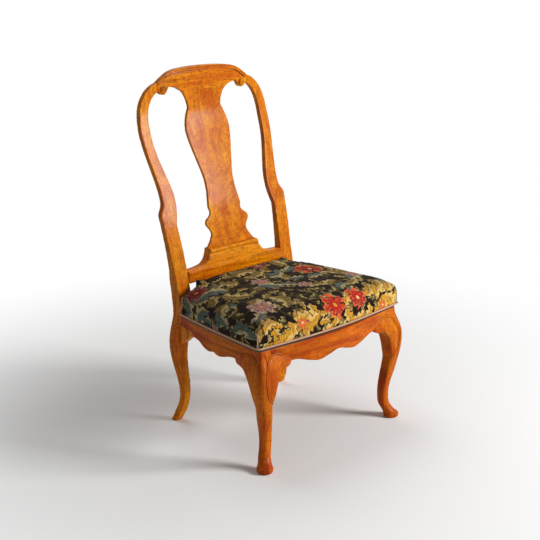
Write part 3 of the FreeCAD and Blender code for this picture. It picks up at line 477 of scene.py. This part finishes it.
def rod(name, path, radius, material, body, tip):
    """A round cord along a path, finer at both ends."""
    last = len(path) - 1
    radii = [tip + (1 - tip) * min(1.0, TAPERS * min(place, last - place) / last)
             for place in range(last + 1)]
    bm = bmesh.new()
    bm.from_mesh(curve_mesh(path, "POLY", radii, radius))
    bmesh.ops.remove_doubles(bm, verts=bm.verts, dist=SEWN)
    bmesh.ops.recalc_face_normals(bm, faces=bm.faces)
    return as_object(name, bm, material, body, smooth_angle=CORD_ANGLE)


# Materials
def walnut(name, grain, light, deep, ripple=0.0, burr=0.0):
    """Shellacked walnut: grain is how far the wood is stretched along each axis."""
    settings = bpy.context.scene.chair_walnut
    umber = settings.umber[:]
    make = Finish(name)
    place = make.coordinates()
    along = make.stretched(place, grain)
    broad = make.noise(along, 30, 4, 1.0)
    streak = make.noise(along, 150, 3, 0.8)
    fibre = make.noise(along, 1100, 2)
    pores = make.noise(along, 620, 1).ramp(0.63, 0.69)
    mottle = make.noise(place, 120, 4, 0.4)
    cloud = make.noise(place, 7, 2)
    tone = make.mix(broad.ramp(0.34, 0.66), deep, light)
    tone = make.mix(cloud.ramp(0.48, 0.72) * 0.35, tone, settings.honey[:])
    tone = make.mix(streak.ramp(0.46, 0.72) * 0.42, tone, umber)
    tone = make.mix(mottle.ramp(0.48, 0.66) * 0.3, tone, umber)
    if ripple:
        x, _, z = make.parts(place)
        wander = make.noise(place, 11, 3) * 22
        wave = ((z + x * 0.5) * (2 * math.pi / settings.ripple) + wander).sin() * 0.5 + 0.5
        lean = make.parts(make.stretched(place, (1, 1, 1), (0, 0.46, 0)))
        flash = make.noise(make.vector(lean[0] * 0.2, lean[2]), 150, 2, 0.5).ramp(0.40, 0.62)
        patchy = make.noise(place, 20, 2).ramp(0.34, 0.60)
        tone = make.mix((wave * 0.5 + flash * 0.7) * patchy * ripple, tone, settings.russet[:])
    if burr:
        specks = make.noise(place, 230, 2).ramp(0.64, 0.70)
        eyes = make.noise(place, 64, 4, 1.5).ramp(0.52, 0.70)
        tone = make.mix(eyes * (burr * 0.5), tone, umber)
        tone = make.mix(specks * burr, tone, settings.grime_and_shade[:])
    tone = make.mix(fibre.ramp(0.45, 0.72) * 0.25, tone, umber)
    tone = make.mix(pores * 0.5, tone, umber)
    arris = make.node("ShaderNodeAttribute", {"attribute_name": "arris"}, output="Fac")
    # Painted highlight: points that stand out, on arrises and carved beads, are lightened towards honey,
    # which also stands for their wear
    tone = make.mix(arris.ramp(0.05, 0.24) * 0.55, tone, settings.honey[:])
    # Painted shade: hollows, such as the grooves beside the carved beads, are darkened towards grime, which
    # also stands for old polish there
    tone = make.mix(arris.ramp(-0.04, -0.20) * 0.75, tone, settings.grime_and_shade[:])
    height = fibre * 0.4 - pores
    return make.set(Base_Color=tone, Roughness=0.36 + fibre * 0.12, Coat_Weight=0.09 + mottle * 0.08,
                    Coat_Roughness=0.13, Specular_IOR_Level=0.03, Normal=make.bump(height, 0.14, 0.12 * MM))


# Stretch of the wood in each direction that its grain can run
GRAIN_UP = (1, 1, 0.07)
GRAIN_ACROSS = (0.07, 1, 1)
GRAIN_ALONG = (1, 0.07, 1)


def walnuts():
    """The walnut of each part of the frame, made once."""
    if "walnut_post" not in bpy.data.materials:
        settings = bpy.context.scene.chair_walnut
        back, russet = (settings.honey[:], settings.amber[:]), (settings.amber[:], settings.russet[:])
        walnut("walnut_post", GRAIN_UP, *back, ripple=0.25)
        walnut("walnut_splat", GRAIN_UP, *back, ripple=0.55)
        walnut("walnut_crest", GRAIN_ACROSS, *back, burr=0.7)
        walnut("walnut_shoe", GRAIN_ACROSS, *back, burr=0.2)
        walnut("walnut_rail", GRAIN_ACROSS, *russet)
        walnut("walnut_side", GRAIN_ALONG, *russet)
        walnut("walnut_leg", GRAIN_UP, *russet)
    return bpy.data.materials


def beech():
    make = Finish("plain_beech")
    along = make.stretched(make.coordinates(), (0.12, 0.12, 1))
    flecks = make.noise(along, 500, 3).ramp(0.5, 0.72)
    tone = make.mix(flecks * 0.5, shade(200, 168, 122), shade(158, 118, 76))
    return make.set(Base_Color=tone, Roughness=0.62, Normal=make.bump(flecks, 0.15, 0.1 * MM))


def shaded_board():
    """Dark painted shade on the board that carries the seat, standing for the shadow gap under the piping."""
    settings = bpy.context.scene.chair_seat
    make = Finish("stained_board")
    along = make.stretched(make.coordinates(), (0.12, 0.12, 1))
    flecks = make.noise(along, 500, 3).ramp(0.45, 0.72)
    tone = make.mix(flecks * 0.6, settings.stain[:], shade(92, 56, 32))
    return make.set(Base_Color=tone, Roughness=0.6 + flecks * 0.15, Normal=make.bump(flecks, 0.15, 0.1 * MM))


def woven(name, thread, light, dark):
    """Plain jute cloth with threads of a width."""
    make = Finish(name)
    x, y, _ = make.parts(make.coordinates())
    warp = (x * (math.pi / thread)).sin().size()
    weft = (y * (math.pi / thread)).sin().size()
    crossing = warp.most(weft)
    slubs = make.noise(make.coordinates(), 180, 3)
    tone = make.mix(crossing * 0.7 + slubs * 0.3, dark, light)
    return make.set(Base_Color=tone, Roughness=0.9, Normal=make.bump(crossing, 0.5, 0.4 * MM))


# Flowers of the tapestry: the middle across and along the unfolded cover, the reach, and the colours of the
# petals, of their tips and of the heart
FLOWERS = (
    ((0.000, -0.272), 0.043, "red", "coral", "gold"),
    ((0.095, -0.266), 0.035, "red", "coral", "straw"),
    ((-0.135, -0.290), 0.027, "coral", "gold", "straw"),
    ((-0.200, -0.190), 0.038, "rose", "blush", "gold"),
    ((0.140, -0.035), 0.043, "wine", "coral", "straw"),
    ((-0.225, 0.058), 0.036, "wine", "rose", "gold"),
    ((-0.060, -0.035), 0.028, "rose", "blush", "gold"),
    ((0.015, -0.135), 0.022, "rose", "blush", "straw"),
    ((0.225, 0.062), 0.034, "wine", "rose", "gold"),
    ((0.205, -0.150), 0.026, "rose", "blush", "gold"),
    ((0.030, 0.075), 0.030, "rose", "wine", "straw"),
    ((-0.335, -0.070), 0.026, "rose", "blush", "gold"),
    ((0.335, -0.070), 0.026, "rose", "blush", "gold"),
    ((0.205, -0.315), 0.020, "coral", "gold", "straw"))


def tapestry():
    """Floral tapestry: leaves and flowers crowded on a dark ground, all drawn in small stitches."""
    settings = bpy.context.scene.chair_seat
    ground, straw = settings.ground[:], settings.straw[:]
    make = Finish("floral_tapestry")
    u, v, _ = make.parts(make.uv())
    stitch = settings.stitch
    across, along = (u / stitch).floor() * stitch, (v / stitch).floor() * stitch
    flat = make.vector(across, along)
    drift = make.noise(flat, 13, 2) - 0.5
    x, y = across + drift * 0.014, along - drift * 0.014
    place = make.vector(x, y)
    front = along.ramp(-0.225, -0.27)
    side = across.size().ramp(0.255, 0.285)
    warm = make.mix(side, make.mix(front, settings.khaki[:], settings.gold[:]), settings.slate[:])
    cool = make.mix(front, settings.slate[:], settings.gold[:])
    small = make.mix(front, settings.olive[:], settings.khaki[:])
    tone = ground

    def leaves(scale, reach, low, high, amount, shift):
        """A layer of bent and lobed leaves, each lighter on one half and hatched across.

        Scale is how many stand along a metre, reach is half a leaf's length, and amount is the share shown.
        """
        nonlocal tone
        moved = make.node("ShaderNodeVectorMath", {"operation": "ADD"})
        join(make.tree, moved.socket.node.inputs[0], place)
        moved.socket.node.inputs[1].default_value = (shift, 2 * shift, 0)
        away, (pick, turn, kind) = make.cells(moved, scale, 0.8)
        dx, dy, _ = make.parts(away)
        cos, sin = (turn * (2 * math.pi)).cos(), (turn * (2 * math.pi)).sin()
        long = dx * cos + dy * sin
        bend = dy * cos - dx * sin + long * long * (kind - 0.5) * (1.6 / reach)
        wide = bend.size()
        share = long / (2 * reach) + 0.5
        lobes = (share * 20 - wide * (6 / reach)).sin() * 0.24 + 0.76
        half = (share * (1 - share)).most(0) ** 0.55 * (1.45 * reach) * lobes
        shown = (front * 0.22 + amount - pick).ramp(0, 0.01)
        inside = (half - wide).ramp(0, stitch) * shown
        margin = (half + 2.2 * stitch - wide).ramp(0, stitch) * half.ramp(0, 2 * stitch) * shown
        hatch = ((long + wide * 0.9) * (2 * math.pi / (0.30 * reach))).sin().ramp(0.2, 0.9)
        body = make.mix(kind.ramp(0.35, 0.65), low, high)
        body = make.mix(hatch * 0.35, body, ground)
        body = make.mix((bend / (half + 0.001)).ramp(0.05, 0.6) * 0.5, body, straw)
        body = make.mix((wide / (half + 0.001)).ramp(0.13, 0.06) * 0.7, body, small)
        tone = make.mix(margin, tone, ground)
        tone = make.mix(inside, tone, body)

    def flower(middle, reach, petal, tip, heart):
        """A ragged flower of seven petals with hatched rings round a light heart."""
        nonlocal tone
        dx, dy = x - middle[0], y - middle[1]
        radius = (dx * dx + dy * dy).root()
        angle = dy.math("ARCTAN2", dx) + 40 * middle[0]
        rim = ((angle * 3.5).sin().size() * 0.24 + (angle * 13).sin() * 0.05 + ragged * 1.1 + 0.22) * reach
        share = radius / rim
        rings = (share * 12 + (angle * 7).sin() * 1.9).sin().ramp(0.1, 0.7)
        body = make.mix(share.ramp(0.25, 0.85), petal, tip)
        body = make.mix(rings * 0.8, body, petal)
        body = make.mix((angle * 3.5).cos().size().ramp(0.95, 1.0) * share.ramp(0.4, 0.6), body, ground)
        body = make.mix((share * 9 + (angle * 5).cos()).cos().ramp(0.7, 0.95) * 0.5, body, ground)
        body = make.mix(share.ramp(0.19, 0.11), body, heart)
        tone = make.mix((rim - radius).ramp(0, stitch), tone, body)

    ragged = make.noise(flat, 60, 2)
    stems = (make.noise(flat, 17, 1.5) * 2 - 1).size().ramp(0.05, 0.02)
    tone = make.mix(stems * 0.8, tone, settings.olive[:])
    leaves(36, 0.013, settings.olive[:], small, 0.55, 0.31)
    leaves(25, 0.020, small, warm, 0.52, 0.07)
    leaves(18, 0.030, cool, warm, 0.50, 0.53)
    leaves(13, 0.042, warm, cool, 0.42, 0.91)
    for middle, reach, *tones in FLOWERS:
        flower(middle, reach, *(getattr(settings, name)[:] for name in tones))
    faded = make.noise(flat, 30, 3)
    tone = make.mix(faded.ramp(0.35, 0.8) * 0.25, tone, shade(70, 54, 38))
    slub = make.noise(flat, 420, 1)
    tone = make.mix(slub.ramp(0.55, 0.75) * 0.35, tone, ground)
    cross = ((u / stitch) * math.pi).sin().size() * ((v / stitch) * math.pi).sin().size()
    fuzz = make.noise(make.uv(), 2200, 2)
    height = cross + fuzz * 0.4
    return make.set(Base_Color=tone, Roughness=0.82 + fuzz * 0.12, Specular_IOR_Level=0.1,
                    Normal=make.bump(height, 0.45, 0.3 * MM))


def cord_cloth():
    """Cloth drawn tight over a cord, with a slanting thread."""
    settings = bpy.context.scene.chair_seat
    make = Finish("piping_cloth")
    x, y, z = make.parts(make.coordinates())
    twill = ((x + y + z * 1.4) * (math.pi / (1.1 * MM))).sin() * 0.5 + 0.5
    worn = make.noise(make.coordinates(), 60, 3)
    tone = make.mix(twill * 0.45, settings.cord[:], shade(112, 76, 56))
    tone = make.mix(worn.ramp(0.45, 0.7) * 0.35, tone, shade(206, 164, 128))
    return make.set(Base_Color=tone, Roughness=0.85, Normal=make.bump(twill, 0.4, 0.3 * MM))


# Carving in millimetres: lines on the knees and the crest as distances out or back, and up
FRONT_SCROLL = [(202, 321), (217, 328), (236, 326), (253, 315), (266, 291), (272, 263), (270, 237),
                (260, 212), (241, 193)]
SIDE_SCROLL = [(-195, 320), (-213, 328), (-235, 324), (-252, 310), (-263, 288), (-266, 260), (-264, 236)]
REAR_SCROLL = [(137, 303), (123, 315), (102, 321), (82, 317), (72, 307), (78, 289)]
OUTSIDE = 450
CREST_BEAD = [(163, 986), (152, 994), (133, 1007), (108, 1015), (57, 1020), (0, 1021)]
EAR_OUT = 152
EAR_BACK = 277
EAR_UP = 968
EAR_RADII = (13.5, 11, 13.5)
EAR_TURNS = 1.6
EAR_START = -1.2
EAR_OUTER = 10.5
EAR_INNER = 2.5
EAR_STEPS = 20


def on_front(line, sign):
    return [Vector((sign * out, -OUTSIDE, up)) * MM for out, up in line], Vector((0, 1, 0))


def on_side(line, sign):
    return [Vector((sign * OUTSIDE, back, up)) * MM for back, up in line], Vector((-sign, 0, 0))


def volute(sign):
    """A spiral that winds into the knob under an end of the crest."""
    points = []
    for step in range(EAR_STEPS + 1):
        share = step / EAR_STEPS
        turn = 2 * math.pi * EAR_TURNS * share + EAR_START
        reach = EAR_OUTER - (EAR_OUTER - EAR_INNER) * share
        points.append((EAR_OUT - reach * math.cos(turn), EAR_UP - reach * math.sin(turn)))
    return on_front(points, sign)


def eased(way, band):
    """From 0 to 1, slow at both ends, over a band."""
    share = min(1.0, max(0.0, way / band))
    return share * share * (3 - 2 * share)


def reach_of(node, axis):
    """Least and greatest distance of a node from the middle, along an axis."""
    return sorted(abs(corner[axis]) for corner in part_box(node))


# Sizes of the finish
POST_STEP = 1.6 * MM
CREST_STEP_SHARE = 0.9
SEAM_BELOW = 1 * MM
# Stuffing: its flat underside, pressure and frames of the simulation, the band above the hem that stays put,
# and how often the cloth is smoothed
UNDERSIDE = 0.5 * MM
PRESSURE = 4
FRAMES = 20
PINNED = 6 * MM
CLOTH_RUBS = 4
# Fullness along the back: its height, how evenly it runs from side to side, the edge that has all of it, and
# the band where it fades to the front
REAR_FULLNESS = 9 * MM
REAR_EVENNESS = 4
REAR_EDGE = 30 * MM
REAR_BAND = 130 * MM
# Corners beside the posts, filled to a height over the shoe's lower edge: the width is a share of the way to
# the post, and foot and fade are shares of the cover's height
CORNER_RISE = 12 * MM
CORNER_BAND = 44 * MM
CORNER_WIDTH = 0.15
CORNER_FOOT = 0.4
CORNER_FADE = 0.3
# Where the cover's sides start when it is laid flat, as a share of its height
COVER_SHOULDER = 0.70
# Piping: its surface step, and how far its ends stand off the cover, how wide they are and where they lean
CORD_STEP = 1 * MM
CORD_PROUD = 2 * MM
CORD_END = 9 * MM
LEAN_START = 6 * MM
LEAN_BAND = 22 * MM
# Welts: a place outside each front corner, heights over the hem, and the share of the radius at the tips
WELT_OUT = 0.40
WELT_FRONT = -0.375
WELT_RISES = (1, 12, 24, 36, 46)
WELT_TIP = 0.6
# Heights between which the lower end of a knee flows into the leg, and how far joints lie past a block
KNEE_END = (148 * MM, 272 * MM)
BEYOND_BLOCK = 8 * MM


def front_joint():
    return reach_of("front_knee_block_left", 0)[0] - BEYOND_BLOCK


def side_joint():
    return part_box("side_knee_block_left")[1][1] + BEYOND_BLOCK


def rear_joint():
    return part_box("rear_knee_block_left")[0][1] - BEYOND_BLOCK


# Operators
class ChairOperator(bpy.types.Operator):
    """One stage of the work on the chair"""
    bl_options = {"REGISTER", "UNDO"}


class CHAIR_OT_posts(ChairOperator):
    """Rear posts, from the swept feet to the shoulders of the back, each with its knee block"""
    bl_idname = "chair.posts"
    bl_label = "Rear posts"

    def execute(self, context):
        for side, sign in SIDES.items():
            nodes = (f"rear_post_{side}", f"rear_knee_block_{side}")
            polished(f"post_{side}", nodes, walnuts()["walnut_post"], POST_STEP,
                     beside={f"side_rail_{side}": walnuts()["walnut_side"]},
                     cuts=[((0, rear_joint(), 0), (0, -1, 0))], lines=[on_side(REAR_SCROLL, sign)])
        return {"FINISHED"}


class CHAIR_OT_back(ChairOperator):
    """Splat, crest and shoe"""
    bl_idname = "chair.back"
    bl_label = "Back"

    def execute(self, context):
        settings = context.scene.chair_walnut
        knobs = [(Vector((sign * EAR_OUT, EAR_BACK, EAR_UP)) * MM, Vector(EAR_RADII) * MM)
                 for sign in SIDES.values()]
        seam = (0, 0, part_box("crest_rail")[0][2] - SEAM_BELOW)
        polished("back_splat", ("splat",), walnuts()["walnut_splat"], settings.voxel, 3,
                 beside={"crest_rail": walnuts()["walnut_crest"]}, cuts=[(seam, (0, 0, 1))])
        polished("crest", ("crest_rail",), walnuts()["walnut_crest"], CREST_STEP_SHARE * settings.fine, 3,
                 swells=knobs, beside={"splat": walnuts()["walnut_splat"]}, cuts=[(seam, (0, 0, -1))],
                 lines=[on_front(CREST_BEAD + [(-out, up) for out, up in CREST_BEAD[-2::-1]], 1)]
                 + [volute(sign) for sign in SIDES.values()])
        polished("shoe", ("shoe_rail",), walnuts()["walnut_shoe"], CREST_STEP_SHARE * settings.fine, 2)
        return {"FINISHED"}


class CHAIR_OT_legs(ChairOperator):
    """Cabriole front legs, each worked as one with the two knee blocks beside it and carved with scrolls"""
    bl_idname = "chair.legs"
    bl_label = "Front legs"

    def execute(self, context):
        for side, sign in SIDES.items():
            nodes = (f"front_leg_{side}", f"front_knee_block_{side}", f"side_knee_block_{side}")
            polished(f"leg_{side}", nodes, walnuts()["walnut_leg"], context.scene.chair_walnut.fine,
                     beside={"front_rail": walnuts()["walnut_rail"],
                             f"side_rail_{side}": walnuts()["walnut_side"]},
                     cuts=[((sign * front_joint(), 0, 0), (-sign, 0, 0)), ((0, side_joint(), 0), (0, 1, 0))],
                     lines=[on_front(FRONT_SCROLL, sign), on_side(SIDE_SCROLL, sign)],
                     flow=KNEE_END)
        return {"FINISHED"}


class CHAIR_OT_rails(ChairOperator):
    """Seat rails with their shaped lower edges"""
    bl_idname = "chair.rails"
    bl_label = "Seat rails"

    def execute(self, context):
        settings = context.scene.chair_walnut
        polished("rail_front", ("front_rail",), walnuts()["walnut_rail"], settings.fine,
                 cuts=[((sign * front_joint(), 0, 0), (sign, 0, 0)) for sign in SIDES.values()])
        polished("rail_rear", ("rear_rail",), walnuts()["walnut_rail"], settings.voxel, 2)
        for side in SIDES:
            polished(f"rail_{side}", (f"side_rail_{side}",), walnuts()["walnut_side"], settings.fine,
                     cuts=[((0, side_joint(), 0), (0, -1, 0)), ((0, rear_joint(), 0), (0, 1, 0))])
        return {"FINISHED"}


class CHAIR_OT_inside(ChairOperator):
    """Plain wood, the seat board in dark painted shade, webbing and base cloth under the cushion"""
    bl_idname = "chair.inside"
    bl_label = "Inside the seat"

    def execute(self, context):
        plain, stain = beech(), shaded_board()
        web = woven("jute_webbing", 2.4 * MM, shade(176, 150, 108), shade(104, 84, 56))
        cloth = woven("hessian_cloth", 1.6 * MM, shade(170, 140, 94), shade(92, 70, 42))
        for node, piece in NODES.items():
            if "corner_block" in node:
                dress(piece, plain, PLAIN_ANGLE)
            elif "seat_frame" in node:
                # The seat board takes the dark painted shade
                dress(piece, stain, PLAIN_ANGLE)
            elif "webbing" in node:
                dress(piece, web, PLAIN_ANGLE)
            elif node == "hessian":
                dress(piece, cloth, PLAIN_ANGLE)
        return {"FINISHED"}


class CHAIR_OT_cushion(ChairOperator):
    """The stuffed seat under its tapestry, swollen by a short cloth simulation"""
    bl_idname = "chair.cushion"
    bl_label = "Cushion"

    def execute(self, context):
        settings = context.scene.chair_seat
        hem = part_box("tapestry_cover")[0][2]
        bm = joined("seat_stuffing")
        floor = min(vert.co.z for vert in bm.verts)
        for vert in bm.verts:
            if vert.co.z < floor + UNDERSIDE:
                vert.co.z = hem
        bm = remeshed(bm, settings.remesh)
        piece = as_object("tapestry_cushion", bm, tapestry(), "seat")
        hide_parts("tapestry_cover", "seat_stuffing")
        self.swell(context.scene, piece, settings.swell, hem)
        self.lift_rear(piece, hem)
        finer = bmesh.new()
        finer.from_mesh(piece.data)
        bmesh.ops.subdivide_edges(finer, edges=finer.edges, cuts=1, use_grid_fill=True)
        rubbed(finer, CLOTH_RUBS)
        finer.to_mesh(piece.data)
        finer.free()
        self.unfold(piece)
        dress(piece, piece.data.materials[0], ALL_SMOOTH)
        return {"FINISHED"}

    def swell(self, scene, piece, most, hem):
        """Blows the cover up a little, and draws back any point that went too far."""
        start = [vert.co.copy() for vert in piece.data.vertices]
        pinned = piece.vertex_groups.new(name="hem")
        pinned.add([place for place, point in enumerate(start) if point.z < hem + PINNED], 1.0, "REPLACE")
        cloth = piece.modifiers.new("Stuffing", "CLOTH")
        cloth.settings.use_pressure = True
        cloth.settings.uniform_pressure_force = PRESSURE
        cloth.settings.effector_weights.gravity = 0
        cloth.settings.vertex_group_mass = "hem"
        for count in range(1, FRAMES + 1):
            scene.frame_set(count)
        settled = piece.evaluated_get(bpy.context.evaluated_depsgraph_get())
        moved = [vert.co.copy() for vert in settled.data.vertices]
        piece.modifiers.clear()
        scene.frame_set(1)
        for vert, before, after in zip(piece.data.vertices, start, moved):
            step = after - before
            vert.co = before + step * min(1.0, most / max(step.length, 1e-9))

    def lift_rear(self, piece, hem):
        """The stuffing stands fuller along the back, and fills the corners beside the posts."""
        _, rear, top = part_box("tapestry_cover")[1]
        wide = reach_of("rear_post_left", 0)[0]
        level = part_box("shoe_rail")[0][2] + CORNER_RISE
        for vert in piece.data.vertices:
            share = abs(vert.co.x) / wide
            high = min(1.0, max(0.0, (vert.co.z - hem) / (top - hem)))
            middle = 1 - min(1.0, share) ** REAR_EVENNESS
            corner = math.exp(-((share - 1) / CORNER_WIDTH) ** 2) * eased(high - CORNER_FOOT, CORNER_FADE)
            back = eased(vert.co.y - rear + REAR_EDGE + REAR_BAND, REAR_BAND)
            vert.co.z += REAR_FULLNESS * middle * high * back
            lack = max(0.0, level - vert.co.z)
            vert.co.z += lack * corner * eased(vert.co.y - rear + CORNER_BAND, CORNER_BAND / 2)

    def unfold(self, piece):
        """Lays the cover out flat: the top as it lies, and the sides folded up beside it."""
        low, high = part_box("tapestry_cover")
        shoulder = low[2] + COVER_SHOULDER * (high[2] - low[2])
        layer = piece.data.uv_layers.new(name="cloth")
        flat = []
        for vert in piece.data.vertices:
            outward = Vector((vert.normal.x, vert.normal.y))
            drop = max(0.0, shoulder - vert.co.z)
            if outward.length > 1e-6:
                outward = outward.normalized() * drop
            flat.append((vert.co.x + outward.x, vert.co.y + outward.y))
        for loop in piece.data.loops:
            layer.data[loop.index].uv = flat[loop.vertex_index]


class CHAIR_OT_piping(ChairOperator):
    """Round cord along the lower edge of the seat and up its front corners"""
    bl_idname = "chair.piping"
    bl_label = "Piping"

    def execute(self, context):
        bm = remeshed(joined("seat_piping"), CORD_STEP)
        rubbed(bm, CLOTH_RUBS)
        cloth = cord_cloth()
        skin = surface(bpy.data.objects["tapestry_cushion"].data)
        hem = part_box("tapestry_cover")[0][2]
        self.lean(bm, skin)
        as_object("piping_cord", bm, cloth, "seat", "seat_piping", ALL_SMOOTH)
        for side, sign in SIDES.items():
            points = [Vector((sign * WELT_OUT, WELT_FRONT, hem + rise * MM)) for rise in WELT_RISES]
            path = drawn_on(skin, points, Vector((-sign, 1, 0)).normalized())
            rod(f"corner_welt_{side}", path, context.scene.chair_seat.cord_radius, cloth, "seat",
                WELT_TIP)
        return {"FINISHED"}

    def lean(self, bm, skin):
        """Lays the ends that turn up beside the posts against the cushion."""
        (_, _, bottom), (_, _, top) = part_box("seat_piping")
        for sign in SIDES.values():
            tip = [vert.co for vert in bm.verts if vert.co.x * sign > 0 and vert.co.z > (bottom + top) / 2]
            middle = sum(tip, Vector()) / len(tip)
            for vert in bm.verts:
                if vert.co.x * sign > 0 and (vert.co.xy - middle.xy).length < CORD_END:
                    centre = Vector((middle.x, middle.y, vert.co.z))
                    near, outward, _, _ = skin.find_nearest(centre)
                    way = near + outward * CORD_PROUD - centre
                    vert.co.xy += way.xy * eased(vert.co.z - bottom - LEAN_START, LEAN_BAND)


# Stage: the floor's radius and the distances between which it fades to white, the world's level of light, and
# each lamp's place, power and size
FLOOR_RADIUS = 14
FADE = (0.35, 1.7)
WORLD_LEVEL = 0.16
AIM = Vector((0, 0, 0.5))
LAMPS = {"key": ((2.1, -3.1, 2.1), 166, 1.3), "top": ((0.2, 1.4, 3.4), 30, 2.0)}


def seen_rays(tree):
    """1 for what is seen, straight or in a polished surface or glass, and 0 for light that only falls."""
    path = tree.nodes.new("ShaderNodeLightPath")
    kinds = [Tone(tree, path.outputs[f"Is {kind} Ray"]) for kind in ("Camera", "Glossy", "Transmission")]
    return kinds[0].most(kinds[1]).most(kinds[2])


class CHAIR_OT_stage(ChairOperator):
    """Pale floor, soft light and the camera"""
    bl_idname = "chair.stage"
    bl_label = "Stage"

    def execute(self, context):
        settings = context.scene.chair_stage
        self.camera(context.scene, settings)
        self.floor(settings)
        self.light(context.scene)
        return {"FINISHED"}

    def camera(self, scene, settings):
        lens = bpy.data.cameras.new("camera")
        lens.lens = settings.focal
        lens.sensor_width = 36
        lens.shift_x, lens.shift_y = settings.shift_x, settings.shift_y
        holder = bpy.data.objects.new("camera", lens)
        target = Vector((0, settings.target_depth, settings.target_height))
        level = math.cos(settings.elevation)
        away = Vector((math.sin(settings.azimuth) * level, -math.cos(settings.azimuth) * level,
                       math.sin(settings.elevation)))
        holder.location = target + away * settings.distance
        holder.rotation_euler = (-away).to_track_quat("-Z", "Y").to_euler()
        scene.collection.objects.link(holder)
        scene.camera = holder

    def floor(self, settings):
        bm = bmesh.new()
        bmesh.ops.create_circle(bm, cap_ends=True, segments=64, radius=FLOOR_RADIUS)
        make = Finish("pale_floor")
        x, y, _ = make.parts(make.coordinates())
        far = (x * x + y * y).root().ramp(*FADE)
        white = make.node("ShaderNodeEmission", Color=(1, 1, 1, 1))
        blend = make.node("ShaderNodeMixShader", Fac=far * seen_rays(make.tree))
        make.set(Base_Color=settings.floor[:], Roughness=0.9, Specular_IOR_Level=0.1)
        nearby = Tone(make.tree, make.shader.outputs[0])
        for place, value in zip(blend.socket.node.inputs[1:], (nearby, white)):
            join(make.tree, place, value)
        join(make.tree, make.tree.nodes["Material Output"].inputs["Surface"], blend)
        mesh = bpy.data.meshes.new("floor")
        bm.to_mesh(mesh)
        bm.free()
        mesh.materials.append(make.material)
        floor = bpy.data.objects.new("floor", mesh)
        bpy.context.scene.collection.objects.link(floor)

    def light(self, scene):
        scene.view_settings.view_transform = "Standard"
        world = bpy.data.worlds.new("studio")
        world.use_nodes = True
        scene.world = world
        tree = world.node_tree
        glow = tree.nodes["Background"]
        glow.inputs["Color"].default_value = (1, 1, 1, 1)
        join(tree, glow.inputs["Strength"], seen_rays(tree) * (1 - WORLD_LEVEL) + WORLD_LEVEL)
        for name, (place, energy, size) in LAMPS.items():
            lamp = bpy.data.lights.new(name, "AREA")
            lamp.energy = energy
            lamp.size = size
            holder = bpy.data.objects.new(name, lamp)
            holder.location = place
            holder.rotation_euler = (AIM - Vector(place)).to_track_quat("-Z", "Y").to_euler()
            scene.collection.objects.link(holder)


class CHAIR_PT_panel(bpy.types.Panel):
    bl_label = "Spoon back chair"
    bl_idname = "CHAIR_PT_panel"
    bl_space_type = "VIEW_3D"
    bl_region_type = "UI"
    bl_category = "Chair"

    def draw(self, context):
        for operator in OPERATORS:
            self.layout.operator(operator.bl_idname)


OPERATORS = (CHAIR_OT_stage, CHAIR_OT_posts, CHAIR_OT_back, CHAIR_OT_legs, CHAIR_OT_rails, CHAIR_OT_inside,
             CHAIR_OT_cushion, CHAIR_OT_piping)
SETTINGS = {"chair_walnut": WalnutSettings, "chair_seat": SeatSettings, "chair_stage": StageSettings}


def register():
    for kind in (*SETTINGS.values(), *OPERATORS, CHAIR_PT_panel):
        bpy.utils.register_class(kind)
    for name, kind in SETTINGS.items():
        setattr(bpy.types.Scene, name, bpy.props.PointerProperty(type=kind))


def unregister():
    for name in SETTINGS:
        delattr(bpy.types.Scene, name)
    for kind in (CHAIR_PT_panel, *reversed(OPERATORS), *reversed(SETTINGS.values())):
        bpy.utils.unregister_class(kind)


def main():
    register()
    bpy.ops.chair.stage()
    bpy.ops.chair.posts()
    bpy.ops.chair.back()
    bpy.ops.chair.legs()
    bpy.ops.chair.rails()
    bpy.ops.chair.inside()
    bpy.ops.chair.cushion()
    bpy.ops.chair.piping()


if __name__ == "__main__":
    main()
